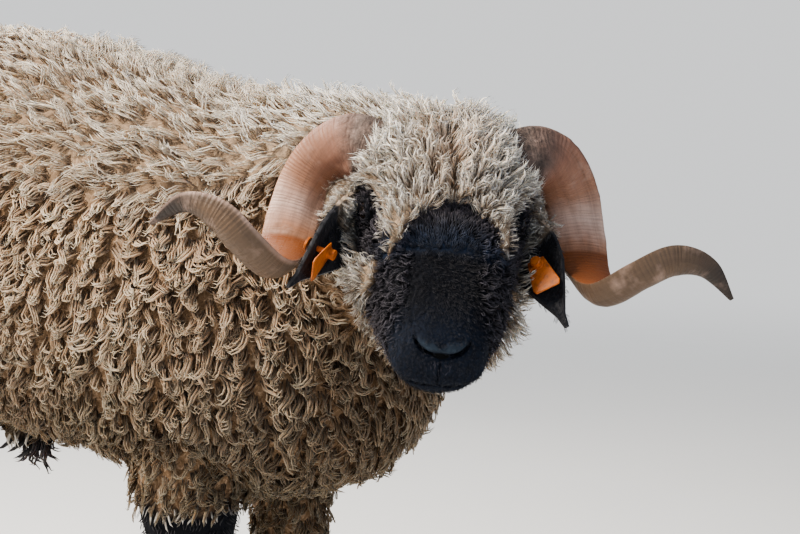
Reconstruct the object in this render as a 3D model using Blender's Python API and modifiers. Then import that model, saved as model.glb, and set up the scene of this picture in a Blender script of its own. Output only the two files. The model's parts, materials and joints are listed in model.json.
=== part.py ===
"""A horned valais blacknose ram, standing, with its head turned to its right.

Metres, +Z up. While it is modelled the ram faces -Y, its own right side is -X, the fore feet
stand at y = 0 and the soles lie on z = 0. At the end everything is shifted so that the origin
is under the middle of its box.
"""

import bisect
import math
import random

import bpy
import bmesh
from mathutils import Matrix, Vector

GAP = 0.0003                    # space between two nodes that touch
CLEAR = 0.00036                 # how far a cutter's skin is grown to leave that gap

# Stance
LEG_SPREAD = 0.105              # from the midline to the middle of a leg
HIND_FOOT_Y = 0.590             # how far the hind feet stand behind the fore feet
FORE_FOOT_Y = -0.015
LEFT_FORE_BACK = 0.058          # the left fore foot stands this much further back
RIGHT_HIND_BACK = 0.025         # the right hind foot stands this much further back

# Body, out to the tips of the wool: y, half width, top, bottom
TRUNK = (
    (-0.222, 0.030, 0.560, 0.470),
    (-0.205, 0.090, 0.620, 0.415),
    (-0.160, 0.148, 0.685, 0.375),
    (-0.090, 0.190, 0.740, 0.355),
    (0.000, 0.214, 0.778, 0.352),
    (0.100, 0.230, 0.796, 0.368),
    (0.210, 0.245, 0.822, 0.384),
    (0.340, 0.252, 0.848, 0.392),
    (0.470, 0.248, 0.854, 0.402),
    (0.575, 0.230, 0.844, 0.430),
    (0.650, 0.194, 0.818, 0.475),
    (0.702, 0.132, 0.770, 0.530),
    (0.728, 0.050, 0.700, 0.610),
)
TRUNK_SIDES = 18
TRUNK_RINGS = 12

# Neck, out to the tips: centre x, y, z, half width, half height
NECK = (
    (0.000, 0.060, 0.595, 0.150, 0.170),
    (0.000, -0.040, 0.616, 0.165, 0.164),
    (-0.008, -0.130, 0.638, 0.148, 0.148),
    (-0.026, -0.205, 0.656, 0.122, 0.128),
    (-0.046, -0.262, 0.668, 0.104, 0.110),
    (-0.066, -0.300, 0.674, 0.080, 0.088),
)
NECK_SIDES = 18
NECK_RINGS = 9

# Head: a point on the skin between the eyes, and how the head is held
FACE_POINT = Vector((-0.110, -0.360, 0.670))
HEAD_TURN = math.radians(46)    # to the ram's right
HEAD_LIFT = math.radians(5.8)
HEAD_ROLL = math.radians(6)     # left side lower
NOSE_DROP = math.radians(51)    # the bridge of the nose below the head's outward axis

# Head along the bridge of the nose: along, top, widest, bottom, half width, narrowing of the jaw
SKULL = (
    (-0.168, -0.060, -0.090, -0.125, 0.030, 0.10),
    (-0.150, -0.030, -0.085, -0.150, 0.060, 0.15),
    (-0.110, 0.000, -0.070, -0.165, 0.078, 0.20),
    (-0.060, 0.006, -0.055, -0.168, 0.080, 0.30),
    (-0.020, 0.002, -0.050, -0.160, 0.078, 0.35),
    (0.015, 0.000, -0.055, -0.148, 0.071, 0.35),
    (0.050, 0.004, -0.056, -0.130, 0.063, 0.35),
    (0.085, 0.006, -0.050, -0.108, 0.058, 0.30),
    (0.110, 0.004, -0.044, -0.096, 0.052, 0.28),
    (0.130, -0.001, -0.040, -0.088, 0.0455, 0.32),
    (0.143, -0.009, -0.041, -0.080, 0.040, 0.40),
    (0.151, -0.020, -0.044, -0.070, 0.031, 0.40),
    (0.155, -0.032, -0.047, -0.059, 0.015, 0.30),
)
SKULL_SIDES = 22
SKULL_RINGS = 20

EYE_RADIUS = 0.0130
EYE_SIDE = 0.0640
EYE_ALONG = -0.0240
EYE_DEEP = -0.0330              # below the bridge's own plane
LID_THICK = 0.0034              # radius of the rim round an eye
LID_WIDE = 0.0135
LID_HIGH = 0.0095
LID_OUT = 0.0085                # the rim's distance from the middle of the eye
LID_SIDES = 5
LID_STEPS = 12

# Nose and mouth, in face coordinates: side, along, normal
NOSTRIL = ((0.0225, 0.1420, -0.0115), (0.0130, 0.1470, -0.0180), (0.0050, 0.1505, -0.0225))
NOSTRIL_DEEP = 0.0032
MOUTH_NORMAL = -0.0540          # the plane of the mouth
MOUTH_FROM = 0.085
MOUTH_DEEP = 0.0018
MOUTH_STEPS = 7

# Horns, in the head's frame: side, out, up, width, thickness, and which way the broad face looks
HORN_RIGHT = (
    (-0.034, -0.052, 0.030, 0.044, 0.038, (0.0, 0.9, 0.4)),
    (-0.058, -0.056, 0.052, 0.050, 0.040, (0.0, 0.9, 0.4)),
    (-0.086, -0.066, 0.060, 0.054, 0.040, (0.0, 1.0, 0.2)),
    (-0.113, -0.088, 0.043, 0.052, 0.038, (0.2, 1.0, 0.0)),
    (-0.128, -0.094, 0.015, 0.050, 0.035, (0.2, 1.0, 0.2)),
    (-0.136, -0.082, -0.018, 0.047, 0.032, (0.1, 0.8, 0.6)),
    (-0.142, -0.050, -0.045, 0.045, 0.030, (0.0, 0.3, 1.0)),
    (-0.156, -0.016, -0.056, 0.043, 0.027, (0.0, -0.2, 1.0)),
    (-0.180, 0.007, -0.040, 0.039, 0.024, (0.3, -0.6, 0.8)),
    (-0.204, 0.011, -0.020, 0.034, 0.021, (0.3, -0.7, 0.7)),
    (-0.234, -0.002, -0.011, 0.024, 0.016, (0.0, -0.5, 0.9)),
    (-0.264, -0.018, -0.033, 0.005, 0.004, (-0.3, -0.3, 0.9)),
)
HORN_LEFT = (
    (0.034, -0.046, 0.034, 0.044, 0.038, (0.0, 0.9, 0.4)),
    (0.058, -0.048, 0.057, 0.050, 0.040, (0.0, 0.9, 0.4)),
    (0.084, -0.056, 0.065, 0.054, 0.040, (0.0, 1.0, 0.2)),
    (0.108, -0.077, 0.054, 0.052, 0.038, (-0.2, 1.0, 0.0)),
    (0.124, -0.086, 0.028, 0.050, 0.035, (-0.2, 1.0, 0.2)),
    (0.131, -0.074, -0.004, 0.047, 0.032, (-0.1, 0.8, 0.6)),
    (0.136, -0.042, -0.034, 0.045, 0.030, (0.0, 0.3, 1.0)),
    (0.150, -0.004, -0.052, 0.043, 0.027, (0.0, -0.2, 1.0)),
    (0.176, 0.022, -0.035, 0.039, 0.024, (-0.3, -0.6, 0.8)),
    (0.204, 0.026, -0.021, 0.034, 0.021, (-0.3, -0.7, 0.7)),
    (0.236, 0.018, -0.024, 0.024, 0.016, (0.0, -0.5, 0.9)),
    (0.264, 0.008, -0.050, 0.005, 0.004, (0.3, -0.3, 0.9)),
)
HORN_SIDES = 9
HORN_RINGS = 26

# Ears, in the head's frame: root, tip, the way the cup opens, then how far along and across it the
# tag sits and how far that turns about the ear
EAR_RIGHT = ((-0.078, -0.082, 0.006), (-0.136, 0.008, -0.078), (0.60, 0.80, 0.10), 0.66, 0.45,
             math.radians(-22))
EAR_LEFT = ((0.078, -0.082, 0.000), (0.118, 0.000, -0.090), (-0.25, 0.95, 0.1), 0.52, 0.0, 0.0)
EAR_WIDE = 0.056
EAR_THICK = 0.004
EAR_BEND = 0.010
EAR_ALONG = 7
EAR_ACROSS = 4

# Fore leg: z, half width, half length, forward of the foot
FORE_LEG = (
    (0.480, 0.078, 0.095, 0.006),
    (0.420, 0.066, 0.076, 0.006),
    (0.360, 0.056, 0.060, 0.006),
    (0.315, 0.044, 0.047, 0.008),
    (0.280, 0.039, 0.042, 0.008),
    (0.240, 0.036, 0.038, 0.002),
    (0.170, 0.035, 0.036, -0.002),
    (0.110, 0.035, 0.038, -0.004),
    (0.075, 0.030, 0.032, 0.006),
    (0.050, 0.033, 0.036, 0.016),
    (0.028, 0.036, 0.040, 0.022),
)
# Hind leg: z, half width, half length, behind the foot
HIND_LEG = (
    (0.560, 0.090, 0.130, -0.050),
    (0.480, 0.078, 0.105, -0.035),
    (0.420, 0.060, 0.075, -0.002),
    (0.365, 0.047, 0.056, 0.030),
    (0.320, 0.039, 0.047, 0.046),
    (0.270, 0.036, 0.040, 0.040),
    (0.180, 0.035, 0.037, 0.022),
    (0.110, 0.035, 0.037, 0.008),
    (0.075, 0.030, 0.032, -0.004),
    (0.050, 0.033, 0.036, -0.012),
    (0.028, 0.036, 0.040, -0.018),
)
LEG_SIDES = 10
LEG_RINGS = 14
LEG_TOP = 0.420                 # where a fore leg's node meets the trunk's
HIND_TOP = 0.450
LEG_BOX = 0.074                 # half the width of the part of the body that counts as a leg

# Claws of the hooves
CLAW_LONG = 0.070
CLAW_WIDE = 0.030
CLAW_HIGH = 0.040
CLAW_SPLIT = 0.004

# Tail, out to the tips: y, z, half width, half depth
TAIL = (
    (0.685, 0.745, 0.050, 0.040),
    (0.728, 0.735, 0.054, 0.036),
    (0.756, 0.690, 0.056, 0.033),
    (0.762, 0.620, 0.054, 0.034),
    (0.756, 0.540, 0.050, 0.034),
    (0.748, 0.460, 0.040, 0.030),
    (0.744, 0.415, 0.020, 0.016),
)
TAIL_SIDES = 10
TAIL_RINGS = 9

# Purse between the hind legs, and the tuft of the sheath under the belly
PURSE = ((0.478, 0.455, 0.034), (0.482, 0.400, 0.044), (0.484, 0.345, 0.047), (0.485, 0.300, 0.036),
         (0.485, 0.288, 0.016))
SHEATH = ((0.368, 0.412, 0.045), (0.342, 0.376, 0.032), (0.330, 0.349, 0.012))

# Fleece: depth of wool over the core, then for each part of the body the room between clumps,
# their half width and their half height
COAT_DEEP = 0.026
BODY_CLUMPS = (0.080, 0.059, 0.033)
NECK_CLUMPS = (0.068, 0.050, 0.031)
LEG_CLUMPS = (0.050, 0.036, 0.020)
TAIL_CLUMPS = (0.054, 0.040, 0.020)
HEAD_CLUMPS = (0.038, 0.029, 0.019)
CLUMP_SIDES = 6
CLUMP_BANDS = ((0.62, 0.79), (-0.15, 1.0))     # height and radius of its two rings
CLUMP_FOOT = -0.9
CLUMP_LEAN = 0.35               # how far a clump's top leans along the lie of the coat
FLEECE_SEED = 7
DARTS = 32000                   # tries at finding room for a clump
DARTS_AT_HEAD = 12000           # the first of them, for the small clumps of the head only
CORE_DEPTHS = {"trunk": COAT_DEEP, "neck": COAT_DEEP, "tail": 0.016}
WOOL_FORE = 0.345               # the deep wool of the fore and hind legs ends above these heights
WOOL_HIND = 0.380
SLIVERS_LEFT = 0.58             # share of the triangles kept when the slivers between clumps go
TAIL_FROM = 0.714
EYE_PATCH = 0.040               # from the middle of an eye to the middle of the next clump
HORN_CLEAR = 0.033              # from the middle of a horn to the middle of the next clump
EAR_CLEAR = 0.022
SHEATH_CLEAR = 0.024
HORN_BARE_FROM = 0.27           # how far along a horn the wool stops covering it

# Ear tags
TAG_THICK = 0.0018
TAG_BUTTON = 0.0070
TAG_HUB = 0.0050
TAG_HUB_HIGH = 0.0085
TAG_PIN = 0.0028
TAG_LONG = 0.030
TAG_WIDE = 0.027
TAG_STANDS = 0.0090             # the flag's distance from the wall of the cup
TAG_BEHIND = 0.0075

COLOURS = {
    "wool": ((0.62, 0.52, 0.42), 0.95),
    "black_hair": ((0.012, 0.012, 0.016), 0.80),
    "horn": ((0.42, 0.27, 0.17), 0.55),
    "eye": ((0.06, 0.035, 0.015), 0.12),
    "hoof": ((0.035, 0.030, 0.028), 0.50),
    "ear_tag": ((0.75, 0.17, 0.01), 0.45),
}


def clear_scene():
    for obj in list(bpy.data.objects):
        bpy.data.objects.remove(obj, do_unlink=True)


def new_collection(name):
    group = bpy.data.collections.new(name)
    bpy.context.scene.collection.children.link(group)
    return group


def finish_of(node, slot):
    """A Principled material for one node."""
    colour, roughness = COLOURS[slot]
    made = bpy.data.materials.new(node + "_" + slot)
    made.use_nodes = True
    shader = made.node_tree.nodes["Principled BSDF"]
    shader.inputs["Base Color"].default_value = (*colour, 1.0)
    shader.inputs["Roughness"].default_value = roughness
    shader.inputs["Metallic"].default_value = 0.0
    return made


def mesh_object(name, form, group):
    """A linked object from a bmesh, which is freed."""
    bmesh.ops.recalc_face_normals(form, faces=form.faces)
    data = bpy.data.meshes.new(name)
    form.to_mesh(data)
    form.free()
    obj = bpy.data.objects.new(name, data)
    group.objects.link(obj)
    return obj


def spread(stations, count):
    """The same stations resampled to count rows along a smooth curve through them."""
    rows = []
    last = len(stations) - 1
    for i in range(count):
        place = last * i / (count - 1)
        k = min(int(place), last - 1)
        t = place - k
        before, start = stations[max(k - 1, 0)], stations[k]
        end, after = stations[k + 1], stations[min(k + 2, last)]
        row = []
        for a, b, c, d in zip(before, start, end, after):
            row.append(0.5 * (2 * b + (c - a) * t + (2 * a - 5 * b + 4 * c - d) * t * t
                              + (3 * b - a - 3 * c + d) * t ** 3))
        rows.append(row)
    return rows


def loft(name, rings, group):
    """A closed skin over rings of points, with a fan at each end."""
    form = bmesh.new()
    rows = [[form.verts.new(point) for point in ring] for ring in rings]
    sides = len(rows[0])
    for near, far in zip(rows, rows[1:]):
        for i in range(sides):
            j = (i + 1) % sides
            form.faces.new((near[i], near[j], far[j]))
            form.faces.new((near[i], far[j], far[i]))
    for row in (rows[0], rows[-1]):
        middle = sum((corner.co for corner in row), Vector()) / sides
        hub = form.verts.new(middle)
        for i in range(sides):
            form.faces.new((row[i], row[(i + 1) % sides], hub))
    return mesh_object(name, form, group)


def oval(centre, across, upward, half, up, down, sides, square=2.0):
    """A ring that may reach further up than down. square above 2 makes it boxier."""
    power = 2.0 / square
    ring = []
    for i in range(sides):
        turn = 2 * math.pi * (i + 0.5) / sides
        c, s = math.cos(turn), math.sin(turn)
        wide = half * math.copysign(abs(c) ** power, c)
        high = (up if s > 0 else down) * math.copysign(abs(s) ** power, s)
        ring.append(centre + across * wide + upward * high)
    return ring


def boolean(target, group, operation, solver="MANIFOLD"):
    """Applies one Boolean of a whole collection to target, and removes the collection's objects."""
    modifier = target.modifiers.new("join", "BOOLEAN")
    modifier.operation = operation
    modifier.operand_type = "COLLECTION"
    modifier.collection = group
    modifier.solver = solver
    settle(target)
    for obj in list(group.objects):
        bpy.data.objects.remove(obj, do_unlink=True)
    bpy.data.collections.remove(group)


def settle(target):
    """Replaces an object's mesh by its evaluated one and drops its modifiers."""
    bpy.context.view_layer.update()
    graph = bpy.context.evaluated_depsgraph_get()
    data = bpy.data.meshes.new_from_object(target.evaluated_get(graph))
    target.modifiers.clear()
    target.data = data


def largest_surface(target):
    """Keeps only the largest closed surface of a mesh."""
    form = bmesh.new()
    form.from_mesh(target.data)
    form.faces.ensure_lookup_table()
    seen = set()
    shells = []
    for face in form.faces:
        if face.index in seen:
            continue
        shell, queue = [], [face]
        seen.add(face.index)
        while queue:
            one = queue.pop()
            shell.append(one)
            for edge in one.edges:
                for other in edge.link_faces:
                    if other.index not in seen:
                        seen.add(other.index)
                        queue.append(other)
        shells.append(shell)
    shells.sort(key=lambda shell: sum(face.calc_area() for face in shell))
    scraps = [face for shell in shells[:-1] for face in shell]
    bmesh.ops.delete(form, geom=scraps, context="FACES")
    loose = [corner for corner in form.verts if not corner.link_faces]
    bmesh.ops.delete(form, geom=loose, context="VERTS")
    form.to_mesh(target.data)
    form.free()


def copy_of(obj, name, group):
    twin = obj.copy()
    twin.data = obj.data.copy()
    twin.name = name
    group.objects.link(twin)
    return twin


def grown(obj, amount, group):
    """A copy with its skin moved outwards, which cuts a seat with a gap."""
    twin = copy_of(obj, obj.name + "_seat", group)
    form = bmesh.new()
    form.from_mesh(twin.data)
    form.normal_update()
    moved = [corner.co + corner.normal * amount * corner.calc_shell_factor() for corner in form.verts]
    for corner, place in zip(form.verts, moved):
        corner.co = place
    form.to_mesh(twin.data)
    form.free()
    return twin


def cut_seat(target, seated):
    """Takes the room of one node out of another, with the gap."""
    seats = new_collection("seats")
    grown(seated, CLEAR, seats)
    boolean(target, seats, "DIFFERENCE")


def box(name, low, high, group):
    form = bmesh.new()
    bmesh.ops.create_cube(form, size=1.0)
    low, high = Vector(low), Vector(high)
    for corner in form.verts:
        corner.co = Vector(((a + b) / 2 + c * (b - a) for a, b, c in zip(low, high, corner.co)))
    return mesh_object(name, form, group)


def head_room(name, grow, group):
    """The box that holds what counts as the head, turned as the head is."""
    room = box(name, HEAD_LOW - Vector((grow,) * 3), HEAD_HIGH + Vector((grow,) * 3), group)
    for corner in room.data.vertices:
        corner.co = on_face(*corner.co)
    form = bmesh.new()
    form.from_mesh(room.data)
    bmesh.ops.recalc_face_normals(form, faces=form.faces)
    form.to_mesh(room.data)
    form.free()
    return room


def wedge_beyond(name, point, facing, reach, group):
    """A large block that lies on one side of a plane."""
    facing = Vector(facing).normalized()
    turn = facing.to_track_quat("Z", "Y").to_matrix().to_4x4()
    form = bmesh.new()
    bmesh.ops.create_cube(form, size=2 * reach)
    middle = Vector(point) + facing * reach
    bmesh.ops.transform(form, matrix=Matrix.Translation(middle) @ turn, verts=form.verts)
    return mesh_object(name, form, group)


# The head's own frames
HEAD_FRAME = (Matrix.Rotation(-HEAD_TURN, 3, "Z") @ Matrix.Rotation(-HEAD_LIFT, 3, "X")
              @ Matrix.Rotation(HEAD_ROLL, 3, "Y"))


def on_head(side, out, up):
    """A place given by the ram's left, the way the face looks, and the head's up."""
    return FACE_POINT + HEAD_FRAME @ Vector((side, -out, up))


def on_face(side, along, normal):
    """A place given along the bridge of the nose and out from it."""
    c, s = math.cos(NOSE_DROP), math.sin(NOSE_DROP)
    return on_head(side, along * c + normal * s, -along * s + normal * c)


def head_direction(side, out, up):
    return HEAD_FRAME @ Vector((side, -out, up))


# The plane that parts the neck from the trunk, and the room of the head: side, along, normal
NECK_BACK = (Vector((0.0, -0.075, 0.660)), Vector((0.0, -0.83, 0.56)).normalized())
HEAD_LOW = Vector((-0.170, -0.105, -0.178))
HEAD_HIGH = Vector((0.170, 0.250, 0.120))


def trunk(group):
    rings = []
    for y, half, top, bottom in spread(TRUNK, TRUNK_RINGS):
        middle = (top + bottom) / 2
        rings.append(oval(Vector((0, y, middle)), Vector((1, 0, 0)), Vector((0, 0, 1)),
                          half, top - middle, middle - bottom, TRUNK_SIDES, 2.35))
    return loft("trunk", rings, group)


def neck(group):
    rows = spread(NECK, NECK_RINGS)
    rings = []
    for i, (x, y, z, half, high) in enumerate(rows):
        before, after = rows[max(i - 1, 0)], rows[min(i + 1, len(rows) - 1)]
        heading = (Vector(after[:3]) - Vector(before[:3])).normalized()
        across = heading.cross(Vector((0, 0, 1))).normalized()
        upward = across.cross(heading)
        rings.append(oval(Vector((x, y, z)), across, upward, half, high, high, NECK_SIDES))
    return loft("neck_form", rings, group)


def skull(group):
    rings = []
    for along, top, mid, bottom, half, jaw in spread(SKULL, SKULL_RINGS):
        ring = []
        for i in range(SKULL_SIDES):
            turn = 2 * math.pi * (i + 0.5) / SKULL_SIDES
            c, s = math.cos(turn), math.sin(turn)
            reach = top - mid if s > 0 else mid - bottom
            slim = 1 - jaw * max(0.0, -s) ** 1.5
            side = half * slim * math.copysign(abs(c) ** 0.85, c)
            ring.append(on_face(side, along, mid + reach * math.copysign(abs(s) ** 0.85, s)))
        rings.append(ring)
    return loft("skull", rings, group)


def leg(name, stations, x, y, turn, group):
    """turn is -1 for a fore leg, whose last size counts forward, and 1 for a hind one."""
    rings = []
    for z, half, long, shift in spread(stations, LEG_RINGS):
        rings.append(oval(Vector((x, y + turn * shift, z)), Vector((1, 0, 0)), Vector((0, 1, 0)),
                          half, long, long, LEG_SIDES))
    return loft(name, rings, group)


def tail(group):
    rows = spread(TAIL, TAIL_RINGS)
    rings = []
    for i, (y, z, half, deep) in enumerate(rows):
        before, after = rows[max(i - 1, 0)], rows[min(i + 1, len(rows) - 1)]
        heading = Vector((0, after[0] - before[0], after[1] - before[1])).normalized()
        upward = heading.cross(Vector((1, 0, 0)))
        rings.append(oval(Vector((0, y, z)), Vector((1, 0, 0)), upward, half, deep, deep, TAIL_SIDES))
    return loft("tail_form", rings, group)


def hanging(name, stations, sides, group):
    """A pendant form on the midline: y, z, radius."""
    rings = []
    for y, z, radius in spread(stations, len(stations) + 2):
        rings.append(oval(Vector((0, y, z)), Vector((1, 0, 0)), Vector((0, 1, 0)),
                          radius, radius, radius, sides))
    return loft(name, rings, group)


def horn(name, stations, group):
    flat = [(s, o, u, wide, thick, *look) for s, o, u, wide, thick, look in stations]
    rows = spread(flat, HORN_RINGS)
    places = [on_head(*row[:3]) for row in rows]
    rings = []
    for i, row in enumerate(rows):
        heading = (places[min(i + 1, len(rows) - 1)] - places[max(i - 1, 0)]).normalized()
        look = head_direction(*row[5:])
        look = (look - heading * look.dot(heading)).normalized()
        across = heading.cross(look)
        wide, thick = row[3] / 2, row[4] / 2
        ring = []
        for k in range(HORN_SIDES):
            turn = 2 * math.pi * (k + 0.5) / HORN_SIDES
            c, s = math.cos(turn), math.sin(turn)
            rise = 0.75 * s if s > 0 else 1.25 * s
            ring.append(places[i] + across * wide * c + look * thick * rise)
        rings.append(ring)
    return loft(name, rings, group)


class Ear:
    """The curved sheet of one ear."""

    def __init__(self, shape):
        root, tip, opening, self.tag_along, self.tag_across, self.tag_turn = shape
        self.root, tip = on_head(*root), on_head(*tip)
        self.heading = (tip - self.root).normalized()
        self.length = (tip - self.root).length
        look = head_direction(*opening)
        self.look = (look - self.heading * look.dot(self.heading)).normalized()
        self.across = self.heading.cross(self.look)

    def at(self, t, v):
        """A place and the normal into the cup, t along the ear and v from -1 to 1 across it."""
        half = EAR_WIDE / 2 * leaf_width(t)
        curl = 1.15 - 0.75 * t
        angle = v * curl
        radius = half / curl
        bend = EAR_BEND * math.sin(math.pi * t)
        place = (self.root + self.heading * self.length * t + self.look * bend
                 + self.across * radius * math.sin(angle)
                 + self.look * radius * (1 - math.cos(angle)))
        return place, self.look * math.cos(angle) - self.across * math.sin(angle)


def ear(name, shape, group):
    """A leaf-shaped cup, drawn as a sheet and thickened."""
    sheet = Ear(shape)
    form = bmesh.new()
    rows = []
    for i in range(EAR_ALONG + 1):
        rows.append([form.verts.new(sheet.at(i / EAR_ALONG, 2 * k / EAR_ACROSS - 1)[0])
                     for k in range(EAR_ACROSS + 1)])
    for near, far in zip(rows, rows[1:]):
        for k in range(EAR_ACROSS):
            form.faces.new((near[k], near[k + 1], far[k]))
            form.faces.new((near[k + 1], far[k + 1], far[k]))
    made = mesh_object(name, form, group)
    wall = made.modifiers.new("wall", "SOLIDIFY")
    wall.thickness = EAR_THICK
    wall.offset = 0
    wall.use_even_offset = True
    settle(made)
    return made


def leaf_width(t):
    """Width of the ear along its length: narrow at the root, widest past a third, pointed."""
    return 0.42 + 0.58 * math.sin(math.pi * min(t / 0.9, 1.0) ** 0.75) - 0.36 * max(0.0, t - 0.55) / 0.45


def tube(name, path, radius, sides, ring, group):
    """A thin round bar along a path; ring joins its ends."""
    form = bmesh.new()
    rows = []
    last = len(path) - 1
    for i, place in enumerate(path):
        before = path[i - 1] if ring or i else place
        after = path[(i + 1) % len(path)] if ring or i < last else place
        heading = (after - before).normalized()
        across = heading.orthogonal().normalized() if not rows else (across - heading * across.dot(heading))
        across.normalize()
        other = heading.cross(across)
        rows.append([form.verts.new(place + radius * (across * math.cos(2 * math.pi * k / sides)
                                                      + other * math.sin(2 * math.pi * k / sides)))
                     for k in range(sides)])
    for near, far in zip(rows, rows[1:] + (rows[:1] if ring else [])):
        for k in range(sides):
            form.faces.new((near[k], near[(k + 1) % sides], far[(k + 1) % sides], far[k]))
    if not ring:
        form.faces.new(rows[0])
        form.faces.new(rows[-1])
    return mesh_object(name, form, group)


def lid(side, group):
    """The rim round one eye."""
    middle = Vector((side * EYE_SIDE, EYE_ALONG, EYE_DEEP))
    look = Vector((side * 0.90, 0.28, 0.33)).normalized()
    along = Vector((0, 1, -0.25))
    along = (along - look * along.dot(look)).normalized()
    upward = look.cross(along)
    path = []
    for i in range(LID_STEPS):
        turn = 2 * math.pi * i / LID_STEPS
        place = (middle + look * LID_OUT + along * LID_WIDE * math.cos(turn)
                 + upward * LID_HIGH * math.sin(turn))
        path.append(on_face(*place))
    return tube("lid", path, LID_THICK, LID_SIDES, True, group)


def nostril(side, group):
    """The cutter of one nostril, a slanted slit."""
    path = [on_face(side * across, along, normal) for across, along, normal in NOSTRIL]
    return tube("nostril", path, NOSTRIL_DEEP, 6, False, group)


def mouth(group):
    """The cutter of the line between the lips, round the front of the muzzle."""
    rows = spread(SKULL, 60)
    edge = []
    for along, _, mid, bottom, half, jaw in rows:
        if along < MOUTH_FROM or bottom > MOUTH_NORMAL - 0.001:
            continue
        s = ((mid - MOUTH_NORMAL) / (mid - bottom)) ** (1 / 0.85)
        slim = 1 - jaw * s ** 1.5
        edge.append((half * slim * math.sqrt(1 - s * s) ** 0.85, along))
    kept = [edge[round(i * (len(edge) - 1) / (MOUTH_STEPS - 1))] for i in range(MOUTH_STEPS)]
    path = [on_face(-side, along, MOUTH_NORMAL) for side, along in kept]
    path += [on_face(side, along, MOUTH_NORMAL) for side, along in reversed(kept)]
    return tube("mouth", path, MOUTH_DEEP, 4, False, group)


def eyeball(name, side, group):
    form = bmesh.new()
    bmesh.ops.create_icosphere(form, subdivisions=2, radius=EYE_RADIUS)
    bmesh.ops.translate(form, vec=on_face(side * EYE_SIDE, EYE_ALONG, EYE_DEEP), verts=form.verts)
    return mesh_object(name, form, group)


def claw(name, x, y, side, group):
    """One half of a cloven hoof, flat underneath, pointed in front and sloping at its wall."""
    outline = ((-0.50, 0.10), (-0.42, 0.62), (-0.10, 0.95), (0.25, 1.0), (0.48, 0.80), (0.50, 0.10))
    form = bmesh.new()
    rings = []
    for high, shrink, shift in ((0.0, 1.0, 0.0), (0.45, 0.94, 0.05), (1.0, 0.82, 0.12)):
        ring = []
        for along, wide in outline:
            slope = 1.0 - 0.22 * (along + 0.5)
            ring.append(form.verts.new((
                x + side * (CLAW_SPLIT / 2 + CLAW_WIDE * wide * shrink),
                y + CLAW_LONG * (along * shrink + shift) - 0.016,
                CLAW_HIGH * high * slope)))
        for along in (0.50, -0.50):
            slope = 1.0 - 0.22 * (along + 0.5)
            ring.append(form.verts.new((
                x + side * CLAW_SPLIT / 2,
                y + CLAW_LONG * (along * shrink + shift) - 0.016,
                CLAW_HIGH * high * slope)))
        rings.append(ring)
    count = len(rings[0])
    for low, top in zip(rings, rings[1:]):
        for i in range(count):
            form.faces.new((low[i], low[(i + 1) % count], top[(i + 1) % count], top[i]))
    form.faces.new(rings[0])
    form.faces.new(rings[-1])
    return mesh_object(name, form, group)


def tag(name, shape, group):
    """An ear tag: a flag on the front of the ear, a button, a pin and a stud behind it."""
    sheet = Ear(shape)
    middle, look = sheet.at(sheet.tag_along, sheet.tag_across)
    look = Matrix.Rotation(sheet.tag_turn, 3, sheet.heading) @ look
    across = sheet.heading.cross(look)
    frame = Matrix((across, sheet.heading, look)).transposed().to_4x4()
    frame.translation = middle
    pieces = new_collection(name + "_pieces")
    form = bmesh.new()
    front = EAR_THICK / 2 + TAG_STANDS
    outline = ((-0.30, -0.20), (0.30, -0.20), (0.50, 0.85), (0.42, 1.0), (-0.42, 1.0), (-0.50, 0.85))
    low = [form.verts.new((w * TAG_WIDE, l * TAG_LONG, front)) for w, l in outline]
    top = [form.verts.new((w * TAG_WIDE, l * TAG_LONG, front + TAG_THICK)) for w, l in outline]
    form.faces.new(low)
    form.faces.new(top)
    for i in range(len(outline)):
        j = (i + 1) % len(outline)
        form.faces.new((low[i], low[j], top[j], top[i]))
    flag = mesh_object(name, form, group)
    for radius, start, end in ((TAG_HUB, front - 0.001, front + TAG_HUB_HIGH),
                               (TAG_PIN, -TAG_BEHIND, front + 0.001),
                               (TAG_BUTTON, -TAG_BEHIND - 0.0025, -TAG_BEHIND + 0.0005)):
        disc = bmesh.new()
        bmesh.ops.create_cone(disc, cap_ends=True, segments=8, radius1=radius, radius2=radius,
                              depth=end - start)
        bmesh.ops.translate(disc, vec=(0, 0, (start + end) / 2), verts=disc.verts)
        mesh_object(name + "_disc", disc, pieces)
    boolean(flag, pieces, "UNION", "EXACT")
    flag.data.transform(frame)
    return flag


def bare_forms(group):
    """Trunk, neck, legs, tail and what hangs below, each a smooth form out to the tips."""
    forms = {"trunk": trunk(group), "neck": neck(group), "tail": tail(group)}
    forms["sheath"] = hanging("sheath", SHEATH, 10, group)
    for side in (-1, 1):
        fore_y = FORE_FOOT_Y + (LEFT_FORE_BACK if side > 0 else 0.0)
        hind_y = HIND_FOOT_Y + (RIGHT_HIND_BACK if side < 0 else 0.0)
        forms["fore%d" % side] = leg("fore", FORE_LEG, side * LEG_SPREAD, fore_y, -1, group)
        forms["hind%d" % side] = leg("hind", HIND_LEG, side * LEG_SPREAD, hind_y, 1, group)
    return forms


def fused(name, forms, group):
    """One skin round copies of the forms."""
    first, *others = forms
    body = copy_of(first, name, group)
    parts = new_collection("parts")
    for form in others:
        copy_of(form, form.name + "_part", parts)
    boolean(body, parts, "UNION")
    return body


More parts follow.
